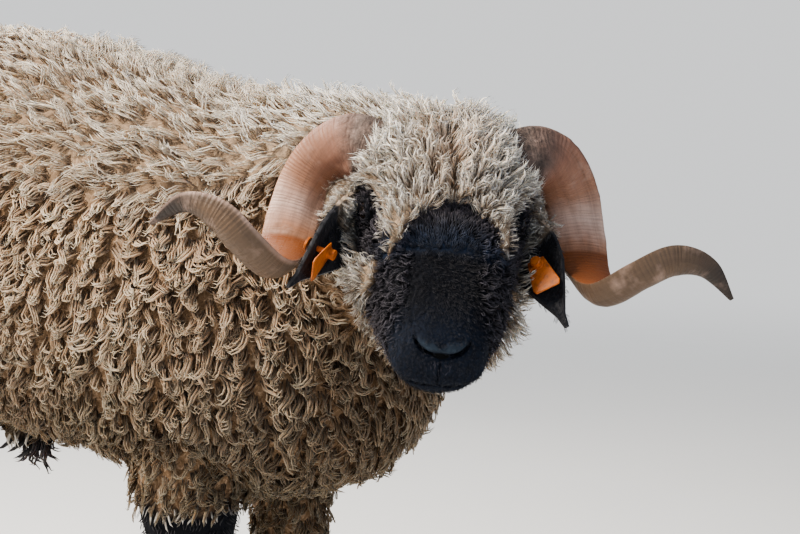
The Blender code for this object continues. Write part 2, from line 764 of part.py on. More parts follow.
def coat_kind(place, forms_at):
    """Which clumps grow at a place on the skin, or None where the coat is short."""
    side, along, normal = face_place(place)
    if along > HEAD_LOW.y and normal > HEAD_LOW.z and abs(side) < HEAD_HIGH.x:
        edge = wool_edge(normal)
        near_eye = Vector((abs(side) - EYE_SIDE, along - EYE_ALONG, normal - EYE_DEEP)).length
        return HEAD_CLUMPS if along < edge and near_eye > EYE_PATCH else None
    if place.y > TAIL_FROM and abs(place.x) < 0.07 and place.z < 0.76:
        return TAIL_CLUMPS
    high = WOOL_HIND if place.y > 0.3 else WOOL_FORE
    if place.z < high:
        return None
    if place.z < 0.43 and abs(abs(place.x) - LEG_SPREAD) < LEG_BOX and forms_at == "leg":
        return LEG_CLUMPS
    if (place - NECK_BACK[0]).dot(NECK_BACK[1]) > 0:
        return NECK_CLUMPS
    return BODY_CLUMPS


def wool_edge(normal):
    """How far along the face the wool comes: short of the eyes above, further under the jaw."""
    low = min(max((-0.050 - normal) / 0.070, 0.0), 1.0)
    return -0.034 + 0.110 * low


def face_place(place):
    """The inverse of on_face."""
    side, back, up = HEAD_FRAME.transposed() @ (place - FACE_POINT)
    c, s = math.cos(NOSE_DROP), math.sin(NOSE_DROP)
    return side, -back * c - up * s, -back * s + up * c


def bare_places():
    """Points along the horns, ears and sheath with the distance that clumps keep from them."""
    places = []
    for stations in (HORN_RIGHT, HORN_LEFT):
        rows = spread([station[:3] for station in stations], HORN_RINGS)
        places += [(on_head(*row), HORN_CLEAR) for row in rows[round(HORN_BARE_FROM * len(rows)):]]
    for shape in (EAR_RIGHT, EAR_LEFT):
        sheet = Ear(shape)
        places += [(sheet.at(i / EAR_ALONG, 0.0)[0], EAR_CLEAR) for i in range(EAR_ALONG)]
    return places + [(Vector((0, y, z)), radius + SHEATH_CLEAR) for y, z, radius in SHEATH[1:]]


def scattered(skin, draw):
    """Places on the skin, no two nearer than their clumps allow, with the normal at each."""
    bare = bare_places()
    data = skin.data
    data.calc_loop_triangles()
    corners = [corner.co for corner in data.vertices]
    triangles, total = [], 0.0
    for triangle in data.loop_triangles:
        total += triangle.area
        triangles.append((total, triangle))
    ladder = [rung for rung, _ in triangles]
    chosen = []
    for dart in range(DARTS):
        triangle = triangles[min(bisect.bisect(ladder, draw.random() * total), len(ladder) - 1)][1]
        a, b = draw.random(), draw.random()
        if a + b > 1:
            a, b = 1 - a, 1 - b
        p, q, r = (corners[k] for k in triangle.vertices)
        place = p + (q - p) * a + (r - p) * b
        on_leg = place.z < 0.43 and abs(triangle.normal.z) < 0.75
        kind = coat_kind(place, "leg" if on_leg else "body")
        if dart < DARTS_AT_HEAD and kind is not HEAD_CLUMPS:
            continue
        if kind is None or any((place - point).length < room for point, room in bare):
            continue
        if all((place - other).length > (kind[0] + other_kind[0]) / 2
               for other, _, other_kind in chosen):
            chosen.append((place, triangle.normal.copy(), kind))
    return chosen


def clump(name, place, normal, kind, draw, group):
    """One rounded curl: a small ball pressed into the coat, its top leaning the way the wool lies."""
    _, half, high = kind
    lie = Vector((0.25 * normal.x, 0.35, -1.0))
    lie = (lie - normal * lie.dot(normal)).normalized()
    across = lie.cross(normal)
    if kind is HEAD_CLUMPS:
        place = place + normal * high * 1.15
    turn = draw.uniform(-0.5, 0.5)
    half *= draw.uniform(0.90, 1.12)
    high *= draw.uniform(0.92, 1.10)
    base = place - normal * high

    def shaped(x, y, z):
        return (base + across * half * x + lie * (half * 1.12 * y + CLUMP_LEAN * high * max(z, 0.0))
                + normal * high * z)

    form = bmesh.new()
    rings = []
    for k, (z, radius) in enumerate(CLUMP_BANDS):
        ring = []
        for i in range(CLUMP_SIDES):
            angle = turn + 2 * math.pi * (i + 0.5 * k) / CLUMP_SIDES
            ring.append(form.verts.new(shaped(radius * math.cos(angle), radius * math.sin(angle), z)))
        rings.append(ring)
    top, foot = form.verts.new(shaped(0, 0, 1)), form.verts.new(shaped(0, 0, CLUMP_FOOT))
    for i in range(CLUMP_SIDES):
        j = (i + 1) % CLUMP_SIDES
        form.faces.new((rings[0][i], rings[0][j], top))
        form.faces.new((rings[0][i], rings[1][i], rings[0][j]))
        form.faces.new((rings[0][j], rings[1][i], rings[1][j]))
        form.faces.new((rings[1][j], rings[1][i], foot))
    return mesh_object(name, form, group)


def whole_body(work):
    """The skin of the whole animal: smooth cores, with clumps of wool fused on."""
    draw = random.Random(FLEECE_SEED)
    hidden = new_collection("forms")
    forms = bare_forms(hidden)
    head_form = skull(hidden)
    tips = fused("tips", list(forms.values()) + [head_form], hidden)
    places = scattered(tips, draw)
    cores = [grown(form, -CORE_DEPTHS.get(name, 0.0), hidden) for name, form in forms.items()]
    body = fused("body", cores + [head_form], work)
    clumps = new_collection("clumps")
    for i, (place, normal, kind) in enumerate(places):
        clump("clump%d" % i, place, normal, kind, draw, clumps)
    for side in (-1, 1):
        lid(side, clumps)
    boolean(body, clumps, "UNION")
    thin_out(body)
    face = new_collection("face")
    for side in (-1, 1):
        nostril(side, face)
    mouth(face)
    boolean(body, face, "DIFFERENCE")
    for obj in list(hidden.objects):
        bpy.data.objects.remove(obj, do_unlink=True)
    bpy.data.collections.remove(hidden)
    return body


def thin_out(body):
    """Drops the slivers that the union leaves between clumps, but not on the face."""
    form = bmesh.new()
    form.from_mesh(body.data)
    bmesh.ops.triangulate(form, faces=form.faces)
    form.to_mesh(body.data)
    form.free()
    group = body.vertex_groups.new(name="wool")
    for corner in body.data.vertices:
        side, along, normal = face_place(corner.co)
        if along < wool_edge(normal) or normal < HEAD_LOW.z or abs(side) > HEAD_HIGH.x:
            group.add([corner.index], 1.0, "REPLACE")
    modifier = body.modifiers.new("thin", "DECIMATE")
    modifier.decimate_type = "COLLAPSE"
    modifier.ratio = SLIVERS_LEFT
    modifier.vertex_group = group.name
    settle(body)
    body.vertex_groups.clear()


def leg_boxes(grow, group):
    """The room of each leg's node, by node name."""
    rooms = {}
    for side, word in ((-1, "right"), (1, "left")):
        x = side * LEG_SPREAD
        fore_y = FORE_FOOT_Y + (LEFT_FORE_BACK if side > 0 else 0.0)
        hind_y = HIND_FOOT_Y + (RIGHT_HIND_BACK if side < 0 else 0.0)
        for kind, y, top, ahead, behind in (("front", fore_y, LEG_TOP, 0.10, 0.11),
                                            ("hind", hind_y, HIND_TOP, 0.12, 0.11)):
            name = "leg_%s_%s" % (kind, word)
            rooms[name] = box(name + "_room", (x - LEG_BOX - grow, y - ahead - grow, -0.05),
                              (x + LEG_BOX + grow, y + behind + grow, top + grow), group)
    return rooms


def claw_room(y, grow, group):
    """Everything under the sloping top of the claws of one foot."""
    slope = CLAW_HIGH * 0.22 / CLAW_LONG / 0.82
    facing = Vector((0, -slope, -1)).normalized()
    top = Vector((0, y - 0.016 + CLAW_LONG * (0.12 - 0.41), CLAW_HIGH + grow))
    return top, facing


def part_body(body, group):
    """Parts the fused skin into its nodes with thin cuts."""
    nodes = {}
    for name in ("leg_front_right", "leg_front_left", "leg_hind_right", "leg_hind_left"):
        rooms = new_collection("rooms")
        everything = leg_boxes(0.0, rooms)
        for other, room in everything.items():
            if other != name:
                bpy.data.objects.remove(room, do_unlink=True)
        nodes[name] = copy_of(body, name, group)
        boolean(nodes[name], rooms, "INTERSECT")
    cuts = new_collection("cuts")
    leg_boxes(GAP, cuts)
    boolean(body, cuts, "DIFFERENCE")
    tail_room = ((-0.080, TAIL_FROM, 0.36), (0.080, 0.90, 0.80))
    nodes["tail"] = copy_of(body, "tail", group)
    keep = new_collection("keep")
    box("tail_room", *tail_room, keep)
    boolean(nodes["tail"], keep, "INTERSECT")
    cuts = new_collection("cuts")
    low, high = Vector(tail_room[0]), Vector(tail_room[1])
    box("tail_cut", low - Vector((GAP,) * 3), high + Vector((GAP,) * 3), cuts)
    boolean(body, cuts, "DIFFERENCE")
    nodes["head"] = copy_of(body, "head", group)
    keep = new_collection("keep")
    head_room("head_room", 0.0, keep)
    boolean(nodes["head"], keep, "INTERSECT")
    cuts = new_collection("cuts")
    head_room("head_cut", GAP, cuts)
    boolean(body, cuts, "DIFFERENCE")
    point, facing = NECK_BACK
    nodes["neck"] = copy_of(body, "neck", group)
    keep = new_collection("keep")
    wedge_beyond("ahead", point + facing * GAP / 2, facing, 1.0, keep)
    boolean(nodes["neck"], keep, "INTERSECT")
    cuts = new_collection("cuts")
    wedge_beyond("ahead", point - facing * GAP / 2, facing, 1.0, cuts)
    boolean(body, cuts, "DIFFERENCE")
    body.name = "torso"
    nodes["torso"] = body
    return nodes


def main():
    clear_scene()
    ram = new_collection("valais_blacknose_ram")
    body = whole_body(ram)
    nodes = part_body(body, ram)
    for word, side, horns, ears in (("right", -1, HORN_RIGHT, EAR_RIGHT), ("left", 1, HORN_LEFT, EAR_LEFT)):
        nodes["horn_" + word] = horn("horn_" + word, horns, ram)
        nodes["ear_" + word] = ear("ear_" + word, ears, ram)
        nodes["eye_" + word] = eyeball("eye_" + word, side, ram)
        nodes["tag_" + word] = tag("tag_" + word, ears, ram)
        for kind, y in (("front", FORE_FOOT_Y + (LEFT_FORE_BACK if side > 0 else 0.0)),
                        ("hind", HIND_FOOT_Y + (RIGHT_HIND_BACK if side < 0 else 0.0))):
            foot = "leg_%s_%s" % (kind, word)
            point, facing = claw_room(y, GAP, ram)
            cuts = new_collection("cuts")
            wedge_beyond("foot", point, facing, 0.2, cuts)
            boolean(nodes[foot], cuts, "DIFFERENCE")
            for claw_side, claw_word in ((-1, "right"), (1, "left")):
                name = "claw_%s_%s_%s" % (kind, word, claw_word)
                nodes[name] = claw(name, side * LEG_SPREAD, y, claw_side, ram)
    nodes["purse"] = hanging("purse", PURSE, 10, ram)
    for wool, seated in (("torso", "purse"), ("leg_hind_right", "purse"), ("leg_hind_left", "purse")):
        cut_seat(nodes[wool], nodes[seated])
    for word in ("right", "left"):
        cut_seat(nodes["ear_" + word], nodes["tag_" + word])
        for piece in ("horn_", "ear_", "eye_", "tag_"):
            cut_seat(nodes["head"], nodes[piece + word])
        cut_seat(nodes["neck"], nodes["horn_" + word])
    for name, node in nodes.items():
        largest_surface(node)
        node.data.materials.clear()
        slot = name.split("_")[0]
        slot = {"horn": "horn", "eye": "eye", "tag": "ear_tag", "claw": "hoof",
                "ear": "black_hair"}.get(slot, "wool")
        node.data.materials.append(finish_of(name, slot))
        node.data.shade_smooth()
        node.data.set_sharp_from_angle(angle=math.radians(50))
    centre_over_origin(nodes.values())


def centre_over_origin(nodes):
    """Shifts every mesh so that the origin lies under the middle of the whole box."""
    corners = [corner.co for node in nodes for corner in node.data.vertices]
    middle_x = (min(c.x for c in corners) + max(c.x for c in corners)) / 2
    middle_y = (min(c.y for c in corners) + max(c.y for c in corners)) / 2
    lowest = min(c.z for c in corners)
    for node in nodes:
        node.data.transform(Matrix.Translation((-middle_x, -middle_y, -lowest)))


main()
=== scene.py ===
# A horned valais blacknose ram: skin, fleece, face, horns, ears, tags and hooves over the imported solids
import json
import math
import random

import bmesh
import bpy
import numpy as np
from mathutils import Matrix, Vector, noise

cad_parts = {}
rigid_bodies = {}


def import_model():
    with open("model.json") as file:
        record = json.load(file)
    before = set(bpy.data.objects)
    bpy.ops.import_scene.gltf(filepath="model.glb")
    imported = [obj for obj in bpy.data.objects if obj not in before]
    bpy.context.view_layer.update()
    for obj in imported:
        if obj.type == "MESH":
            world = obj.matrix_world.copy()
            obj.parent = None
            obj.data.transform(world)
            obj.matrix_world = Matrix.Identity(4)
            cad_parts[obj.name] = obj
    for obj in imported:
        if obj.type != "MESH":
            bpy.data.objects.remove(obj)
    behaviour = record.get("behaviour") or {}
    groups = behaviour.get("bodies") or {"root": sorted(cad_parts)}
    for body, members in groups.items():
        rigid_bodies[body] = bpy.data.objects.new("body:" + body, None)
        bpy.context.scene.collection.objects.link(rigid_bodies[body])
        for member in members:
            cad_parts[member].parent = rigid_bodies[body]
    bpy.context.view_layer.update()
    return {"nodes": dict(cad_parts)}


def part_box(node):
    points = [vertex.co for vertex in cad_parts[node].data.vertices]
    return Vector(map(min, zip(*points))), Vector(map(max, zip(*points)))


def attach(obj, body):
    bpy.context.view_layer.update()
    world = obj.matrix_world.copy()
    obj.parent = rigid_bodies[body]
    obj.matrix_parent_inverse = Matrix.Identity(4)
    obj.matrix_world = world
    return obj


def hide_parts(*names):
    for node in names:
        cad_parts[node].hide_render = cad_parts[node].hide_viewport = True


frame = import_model()
print("frame loaded:", len(frame["nodes"]), "nodes")

# How the head is held, in degrees; the face point lies between the eyes
headPose = {
    "facePoint": (-0.110, -0.360, 0.670),
    "turnRight": 46.0,
    "lift": 5.8,
    "leftLower": 6.0,
    "noseDrop": 51.0,
}
eye = {
    "side": 0.0640,
    "along": -0.0240,
    "deep": -0.0330,
    "radius": 0.0130,
}

headTurn = (Matrix.Rotation(-math.radians(headPose["turnRight"]), 3, "Z")
            @ Matrix.Rotation(-math.radians(headPose["lift"]), 3, "X")
            @ Matrix.Rotation(math.radians(headPose["leftLower"]), 3, "Y"))
noseCos = math.cos(math.radians(headPose["noseDrop"]))
noseSin = math.sin(math.radians(headPose["noseDrop"]))
facePoint = Vector(headPose["facePoint"])


def onHead(side, out, up):
    # side is the ram's left, out is where the face looks
    return facePoint + headTurn @ Vector((side, -out, up))


def onFace(side, along, normal):
    # along runs down the bridge of the nose, normal stands out from it
    return onHead(side, along * noseCos + normal * noseSin, -along * noseSin + normal * noseCos)


# The solids are centred under their box; the eye tells by how much
low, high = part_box("eye_left")
shift = (low + high) / 2 - onFace(eye["side"], eye["along"], eye["deep"])
facePoint = facePoint + shift


def toFace(points):
    # the inverse of onFace for an array of points
    local = (points - np.array(facePoint)) @ np.array(headTurn)
    side, back, up = local.T
    return side, -back * noseCos - up * noseSin, -back * noseSin + up * noseCos


# Sockets and nodes

class Sock:
    # an output socket that takes arithmetic
    def __init__(self, maker, socket):
        self.maker = maker
        self.socket = socket

    def math(self, operation, first, second=0.0):
        return self.maker.node("ShaderNodeMath", {0: first, 1: second}, operation=operation)

    def __add__(self, other):
        return self.math("ADD", self, other)

    __radd__ = __add__

    def __sub__(self, other):
        return self.math("SUBTRACT", self, other)

    def __rsub__(self, other):
        return self.math("SUBTRACT", other, self)

    def __mul__(self, other):
        return self.math("MULTIPLY", self, other)

    __rmul__ = __mul__

    def __truediv__(self, other):
        return self.math("DIVIDE", self, other)

    def __rtruediv__(self, other):
        return self.math("DIVIDE", other, self)

    def power(self, other):
        return self.math("POWER", self, other)

    def clamped(self):
        return self.maker.node("ShaderNodeClamp", {"Value": self})

    def of(self, name):
        return Sock(self.maker, findSocket(self.socket.node.outputs, name))


def findSocket(sockets, key):
    if isinstance(key, int):
        return sockets[key]
    return next(socket for socket in sockets if socket.enabled and socket.name == key)


class NodeMaker:
    # adds nodes to one tree: settings first, then the values or links of the sockets
    def __init__(self, tree):
        self.tree = tree

    def node(self, kind, values=None, out=0, **settings):
        made = self.tree.nodes.new(kind)
        stops = settings.pop("stops", None)
        for name, value in settings.items():
            setattr(made, name, value)
        if stops:
            self.fillRamp(made.color_ramp, stops)
        for key, value in (values or {}).items():
            self.feed(findSocket(made.inputs, key), value)
        outputs = [socket for socket in made.outputs if socket.enabled]
        return Sock(self, findSocket(made.outputs, out) if isinstance(out, str) else outputs[out])

    def feed(self, socket, value):
        if isinstance(value, Sock):
            self.tree.links.new(value.socket, socket)
        elif isinstance(value, tuple) and len(value) == 3 and len(getattr(socket, "default_value", ())) == 4:
            socket.default_value = (*value, 1.0)
        else:
            socket.default_value = value

    def fillRamp(self, ramp, stops):
        while len(ramp.elements) < len(stops):
            ramp.elements.new(0.5)
        for element, (place, colour) in zip(ramp.elements, stops):
            element.position = place
            element.color = (*colour, 1.0) if isinstance(colour, tuple) else (colour, colour, colour, 1.0)


class Finish(NodeMaker):
    # a Principled material; fixed numbers go on the shader's own sockets
    def __init__(self, name, **fixed):
        self.material = bpy.data.materials.new(name)
        self.material.use_nodes = True
        super().__init__(self.material.node_tree)
        self.shader = self.tree.nodes["Principled BSDF"]
        for key, value in fixed.items():
            self.set(key.replace("_", " "), value)

    def set(self, name, value):
        self.feed(findSocket(self.shader.inputs, name), value)

    def mix(self, factor, first, second, blend="MIX"):
        return self.node("ShaderNodeMix", {0: factor, 6: first, 7: second}, out="Result",
                         data_type="RGBA", blend_type=blend)

    def cloud(self, where, scale, detail=2.0, roughness=0.5, distortion=0.0):
        return self.node("ShaderNodeTexNoise", {"Vector": where, "Scale": scale, "Detail": detail,
                                                "Roughness": roughness, "Distortion": distortion})

    def ramp(self, factor, stops):
        return self.node("ShaderNodeValToRGB", {0: factor}, stops=stops)

    def place(self):
        return self.node("ShaderNodeTexCoord", out="Object")

    def stretched(self, where, scale, turn=(0.0, 0.0, 0.0)):
        return self.node("ShaderNodeMapping", {"Vector": where, "Scale": scale, "Rotation": turn})

    def reading(self, name, out="Fac"):
        return self.node("ShaderNodeAttribute", out=out, attribute_name=name)

    def bump(self, height, strength, distance):
        self.set("Normal", self.node("ShaderNodeBump", {"Height": height, "Strength": strength,
                                                        "Distance": distance}))


# Meshes

def newCollection(name):
    made = bpy.data.collections.new(name)
    bpy.context.scene.collection.children.link(made)
    return made


ram = newCollection("ram")
bench = newCollection("bench")    # things that only help to make others


def meshObject(name, points, faces, where=None, smooth=True):
    data = bpy.data.meshes.new(name)
    data.from_pydata([tuple(point) for point in points], [], faces)
    data.update()
    if smooth:
        data.shade_smooth()
    made = bpy.data.objects.new(name, data)
    (where or ram).objects.link(made)
    return made


def evaluated(obj):
    bpy.context.view_layer.update()
    graph = bpy.context.evaluated_depsgraph_get()
    return bpy.data.meshes.new_from_object(obj.evaluated_get(graph))


def applied(obj):
    data = evaluated(obj)
    obj.modifiers.clear()
    obj.data = data
    return obj


def outwards(obj):
    form = bmesh.new()
    form.from_mesh(obj.data)
    bmesh.ops.recalc_face_normals(form, faces=form.faces)
    form.to_mesh(obj.data)
    form.free()
    return obj


def dress(obj, finish, slotName, *nodes):
    obj.data.materials.clear()
    obj.data.materials.append(finish)
    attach(obj, "root")
    if nodes:
        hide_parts(*nodes)
    return obj


def spread(stations, count):
    # count rows along a smooth curve through the stations
    table = np.array(stations, float)
    last = len(table) - 1
    places = np.linspace(0, last, count)
    k = np.minimum(places.astype(int), last - 1)
    t = (places - k)[:, None]
    a, b = table[np.maximum(k - 1, 0)], table[k]
    c, d = table[k + 1], table[np.minimum(k + 2, last)]
    return 0.5 * (2 * b + (c - a) * t + (2 * a - 5 * b + 4 * c - d) * t ** 2 + (3 * b - a - 3 * c + d) * t ** 3)


def loft(name, rings, where=None):
    # a closed skin over rings of points
    count, sides = len(rings), len(rings[0])
    points = [point for ring in rings for point in ring]
    faces = []
    for i in range(count - 1):
        for k in range(sides):
            n = (k + 1) % sides
            faces.append((i * sides + k, i * sides + n, (i + 1) * sides + n, (i + 1) * sides + k))
    for i in (0, count - 1):
        hub = len(points)
        points.append(sum((Vector(p) for p in rings[i]), Vector()) / sides)
        for k in range(sides):
            faces.append((i * sides + k, i * sides + (k + 1) % sides, hub))
    return outwards(meshObject(name, points, faces, where))


def oval(centre, across, upward, half, up, down, sides, square=2.0):
    ring = []
    for i in range(sides):
        turn = 2 * math.pi * (i + 0.5) / sides
        c, s = math.cos(turn), math.sin(turn)
        wide = half * math.copysign(abs(c) ** (2 / square), c)
        tall = (up if s > 0 else down) * math.copysign(abs(s) ** (2 / square), s)
        ring.append(centre + across * wide + upward * tall)
    return ring


def tube(name, path, radii, sides, closed=False, where=None):
    count = len(path)
    rings, across = [], None
    for i, place in enumerate(path):
        before = path[(i - 1) % count] if closed or i else place
        after = path[(i + 1) % count] if closed or i < count - 1 else place
        heading = (after - before).normalized()
        across = heading.orthogonal() if across is None else across - heading * across.dot(heading)
        across = across.normalized()
        other = heading.cross(across)
        radius = radii[i] if isinstance(radii, (list, tuple)) else radii
        rings.append([place + radius * (across * math.cos(2 * math.pi * k / sides)
                                        + other * math.sin(2 * math.pi * k / sides)) for k in range(sides)])
    if not closed:
        return loft(name, rings, where)
    points = [point for ring in rings for point in ring]
    faces = [(i * sides + k, i * sides + (k + 1) % sides, ((i + 1) % count) * sides + (k + 1) % sides,
              ((i + 1) % count) * sides + k) for i in range(count) for k in range(sides)]
    return outwards(meshObject(name, points, faces, where))


def coordinates(data):
    found = np.zeros(len(data.vertices) * 3)
    data.vertices.foreach_get("co", found)
    return found.reshape(-1, 3)


def normals(data):
    found = np.zeros(len(data.vertices) * 3, np.float32)
    data.vertex_normals.foreach_get("vector", found)
    return found.reshape(-1, 3).astype(float)


def moveAlongNormals(obj, amount):
    # amount is a function of the points that gives how far each goes out
    points = coordinates(obj.data)
    moved = points + normals(obj.data) * amount(points)[:, None]
    obj.data.vertices.foreach_set("co", moved.ravel())
    obj.data.update()
    return obj


def bell(distance, reach):
    return np.exp(-(distance / reach) ** 2)


def step(value, start, end):
    t = np.clip((value - start) / (end - start), 0, 1)
    return t * t * (3 - 2 * t)


# The skin: the forms of the solids again, finer and under the coat

# y, half width, top, bottom of the trunk out to the wool's tips
trunkShape = {
    "stations": (
        (-0.222, 0.030, 0.560, 0.470), (-0.205, 0.090, 0.620, 0.415), (-0.160, 0.148, 0.685, 0.375),
        (-0.090, 0.190, 0.740, 0.355), (0.000, 0.214, 0.778, 0.352), (0.100, 0.230, 0.796, 0.368),
        (0.210, 0.245, 0.822, 0.384), (0.340, 0.252, 0.848, 0.392), (0.470, 0.248, 0.854, 0.402),
        (0.575, 0.230, 0.844, 0.430), (0.650, 0.194, 0.818, 0.475), (0.702, 0.132, 0.770, 0.530),
        (0.728, 0.050, 0.700, 0.610)),
    "underWool": 0.020,
}
# centre x, y, z, half width, half height
neckShape = {
    "stations": (
        (0.000, 0.060, 0.595, 0.150, 0.170), (0.000, -0.040, 0.616, 0.165, 0.164),
        (-0.008, -0.130, 0.638, 0.148, 0.148), (-0.026, -0.205, 0.656, 0.122, 0.128),
        (-0.046, -0.262, 0.668, 0.104, 0.110), (-0.066, -0.300, 0.674, 0.080, 0.088)),
    "underWool": 0.020,
}
# along, top, widest, bottom, half width, narrowing of the jaw
skullShape = {
    "stations": (
        (-0.168, -0.060, -0.090, -0.125, 0.030, 0.10), (-0.150, -0.030, -0.085, -0.150, 0.060, 0.15),
        (-0.110, 0.000, -0.070, -0.165, 0.078, 0.20), (-0.060, 0.006, -0.055, -0.168, 0.080, 0.30),
        (-0.020, 0.002, -0.050, -0.160, 0.078, 0.35), (0.015, 0.000, -0.055, -0.148, 0.071, 0.35),
        (0.050, 0.004, -0.056, -0.130, 0.063, 0.35), (0.085, 0.006, -0.050, -0.108, 0.057, 0.30),
        (0.110, 0.004, -0.044, -0.096, 0.050, 0.28), (0.130, -0.001, -0.040, -0.088, 0.0450, 0.32),
        (0.143, -0.009, -0.041, -0.080, 0.040, 0.40), (0.151, -0.020, -0.044, -0.070, 0.031, 0.40),
        (0.155, -0.032, -0.047, -0.059, 0.015, 0.30)),
    "underWool": 0.004,
    "grain": 0.0023,
}
# z, half width, half length, forward of the foot (fore) or behind it (hind)
legShape = {
    "spread": 0.105,
    "hindFootY": 0.590,
    "foreFootY": -0.015,
    "leftForeBack": 0.058,
    "rightHindBack": 0.025,
    "fore": (
        (0.480, 0.078, 0.095, 0.006), (0.420, 0.066, 0.076, 0.006), (0.360, 0.056, 0.060, 0.006),
        (0.315, 0.044, 0.047, 0.008), (0.280, 0.039, 0.042, 0.008), (0.240, 0.036, 0.038, 0.002),
        (0.170, 0.035, 0.036, -0.002), (0.110, 0.035, 0.038, -0.004), (0.075, 0.030, 0.032, 0.006),
        (0.050, 0.033, 0.036, 0.016), (0.036, 0.035, 0.039, 0.020), (0.022, 0.028, 0.032, 0.022)),
    "hind": (
        (0.560, 0.090, 0.130, -0.050), (0.480, 0.078, 0.105, -0.035), (0.420, 0.060, 0.075, -0.002),
        (0.365, 0.047, 0.056, 0.030), (0.320, 0.039, 0.047, 0.046), (0.270, 0.036, 0.040, 0.040),
        (0.180, 0.035, 0.037, 0.022), (0.110, 0.035, 0.037, 0.008), (0.075, 0.030, 0.032, -0.004),
        (0.050, 0.033, 0.036, -0.012), (0.036, 0.035, 0.039, -0.016), (0.022, 0.028, 0.032, -0.018)),
    "dewclaw": 0.008,
}
# y, z, half width, half depth
tailShape = {
    "stations": (
        (0.685, 0.745, 0.050, 0.040), (0.728, 0.735, 0.054, 0.036), (0.756, 0.690, 0.056, 0.033),
        (0.762, 0.620, 0.054, 0.034), (0.756, 0.540, 0.050, 0.034), (0.748, 0.460, 0.040, 0.030),
        (0.744, 0.415, 0.020, 0.016)),
    "underWool": 0.016,
}
# y, z, radius of the purse and of the sheath under the belly
hangingShape = {
    "purse": ((0.478, 0.455, 0.034), (0.482, 0.400, 0.044), (0.484, 0.345, 0.047), (0.485, 0.300, 0.036),
              (0.485, 0.288, 0.016)),
    "sheath": ((0.368, 0.412, 0.045), (0.342, 0.376, 0.032), (0.330, 0.349, 0.012)),
    "underWool": 0.006,
}
skinMaking = {"bodyGrain": 0.0085, "smoothings": 6}

feet = {}
for sideWord, side in (("right", -1), ("left", 1)):
    x = side * legShape["spread"] + shift.x
    feet["front_" + sideWord] = Vector((x, legShape["foreFootY"] + shift.y
                                        + (legShape["leftForeBack"] if side > 0 else 0.0), 0))
    feet["hind_" + sideWord] = Vector((x, legShape["hindFootY"] + shift.y
                                       + (legShape["rightHindBack"] if side < 0 else 0.0), 0))


def steadyDepth(amount):
    return lambda points: np.full(len(points), -amount)


def makeTrunk():
    rings = []
    for y, half, top, bottom in spread(trunkShape["stations"], 60):
        middle = (top + bottom) / 2
        rings.append(oval(Vector((0, y, middle)) + shift, Vector((1, 0, 0)), Vector((0, 0, 1)),
                          half, top - middle, middle - bottom, 64, 2.35))
    return moveAlongNormals(loft("trunkForm", rings, bench), steadyDepth(trunkShape["underWool"]))


def makeNeck():
    rows = spread(neckShape["stations"], 30)
    rings = []
    for i, (x, y, z, half, tall) in enumerate(rows):
        heading = Vector(rows[min(i + 1, len(rows) - 1)][:3] - rows[max(i - 1, 0)][:3]).normalized()
        across = heading.cross(Vector((0, 0, 1))).normalized()
        rings.append(oval(Vector((x, y, z)) + shift, across, across.cross(heading), half, tall, tall, 56))
    return moveAlongNormals(loft("neckForm", rings, bench), steadyDepth(neckShape["underWool"]))


def makeTail():
    rows = spread(tailShape["stations"], 34)
    rings = []
    for i, (y, z, half, deep) in enumerate(rows):
        before, after = rows[max(i - 1, 0)], rows[min(i + 1, len(rows) - 1)]
        heading = Vector((0, after[0] - before[0], after[1] - before[1])).normalized()
        rings.append(oval(Vector((0, y, z)) + shift, Vector((1, 0, 0)), heading.cross(Vector((1, 0, 0))),
                          half, deep, deep, 28))
    return moveAlongNormals(loft("tailForm", rings, bench), steadyDepth(tailShape["underWool"]))


def makeHanging(which):
    rings = []
    for y, z, radius in spread(hangingShape[which], 20):
        wide = radius * (1.08 if which == "purse" else 1.0)
        rings.append(oval(Vector((0, y, z)) + shift, Vector((1, 0, 0)), Vector((0, 1, 0)),
                          wide, radius, radius, 28))
    return moveAlongNormals(loft(which + "Form", rings, bench), steadyDepth(hangingShape["underWool"]))


def legDepth(points):
    # deep wool over the thigh and the elbow, short hair further down
    return -0.004 - 0.013 * step(points[:, 2], 0.33, 0.44)


def makeLeg(foot, stations, turn):
    rings = []
    for z, half, long, forward in spread(stations, 60):
        rings.append(oval(foot + Vector((0, turn * forward, z)), Vector((1, 0, 0)), Vector((0, 1, 0)),
                          half, long, long, 32))
    leg = moveAlongNormals(loft("legForm", rings, bench), legDepth)
    claws = []
    for across in (-1, 1):
        form = bmesh.new()
        bmesh.ops.create_uvsphere(form, u_segments=14, v_segments=8, radius=legShape["dewclaw"])
        middle = foot + Vector((across * 0.015, turn * stations[-4][3] + 0.030, 0.072))
        bmesh.ops.transform(form, matrix=Matrix.Translation(middle) @ Matrix.Scale(1.5, 4, (0, 0, 1)),
                            verts=form.verts)
        data = bpy.data.meshes.new("dewclaw")
        form.to_mesh(data)
        form.free()
        claw = bpy.data.objects.new("dewclaw", data)
        bench.objects.link(claw)
        claws.append(claw)
    return [leg] + claws


# What is cut into and raised on the face, in face coordinates
faceShape = {
    "woolRise": 0.010,
    "noseLine": ((0.0, -0.0162), (0.006, -0.0168), (0.012, -0.0162), (0.0175, -0.0146), (0.0225, -0.0120), (0.031, -0.0080)),
    "lipLine": ((0.0, -0.0228), (0.006, -0.0214), (0.012, -0.0196), (0.0175, -0.0174), (0.0225, -0.0146), (0.031, -0.0092)),
    "nostrilDeep": 0.0085,
    "padTop": -0.0092,
    "padWide": 0.0235,
    "padRise": 0.0016,
    "mouthNormal": -0.0540,
    "mouthFrom": 0.085,
    "mouthDeep": 0.0042,
    "philtrumDeep": 0.0026,
    "lidThick": 0.0030,
    "lidWide": 0.0120,
    "lidHigh": 0.0072,
    "lidOut": 0.0092,
}


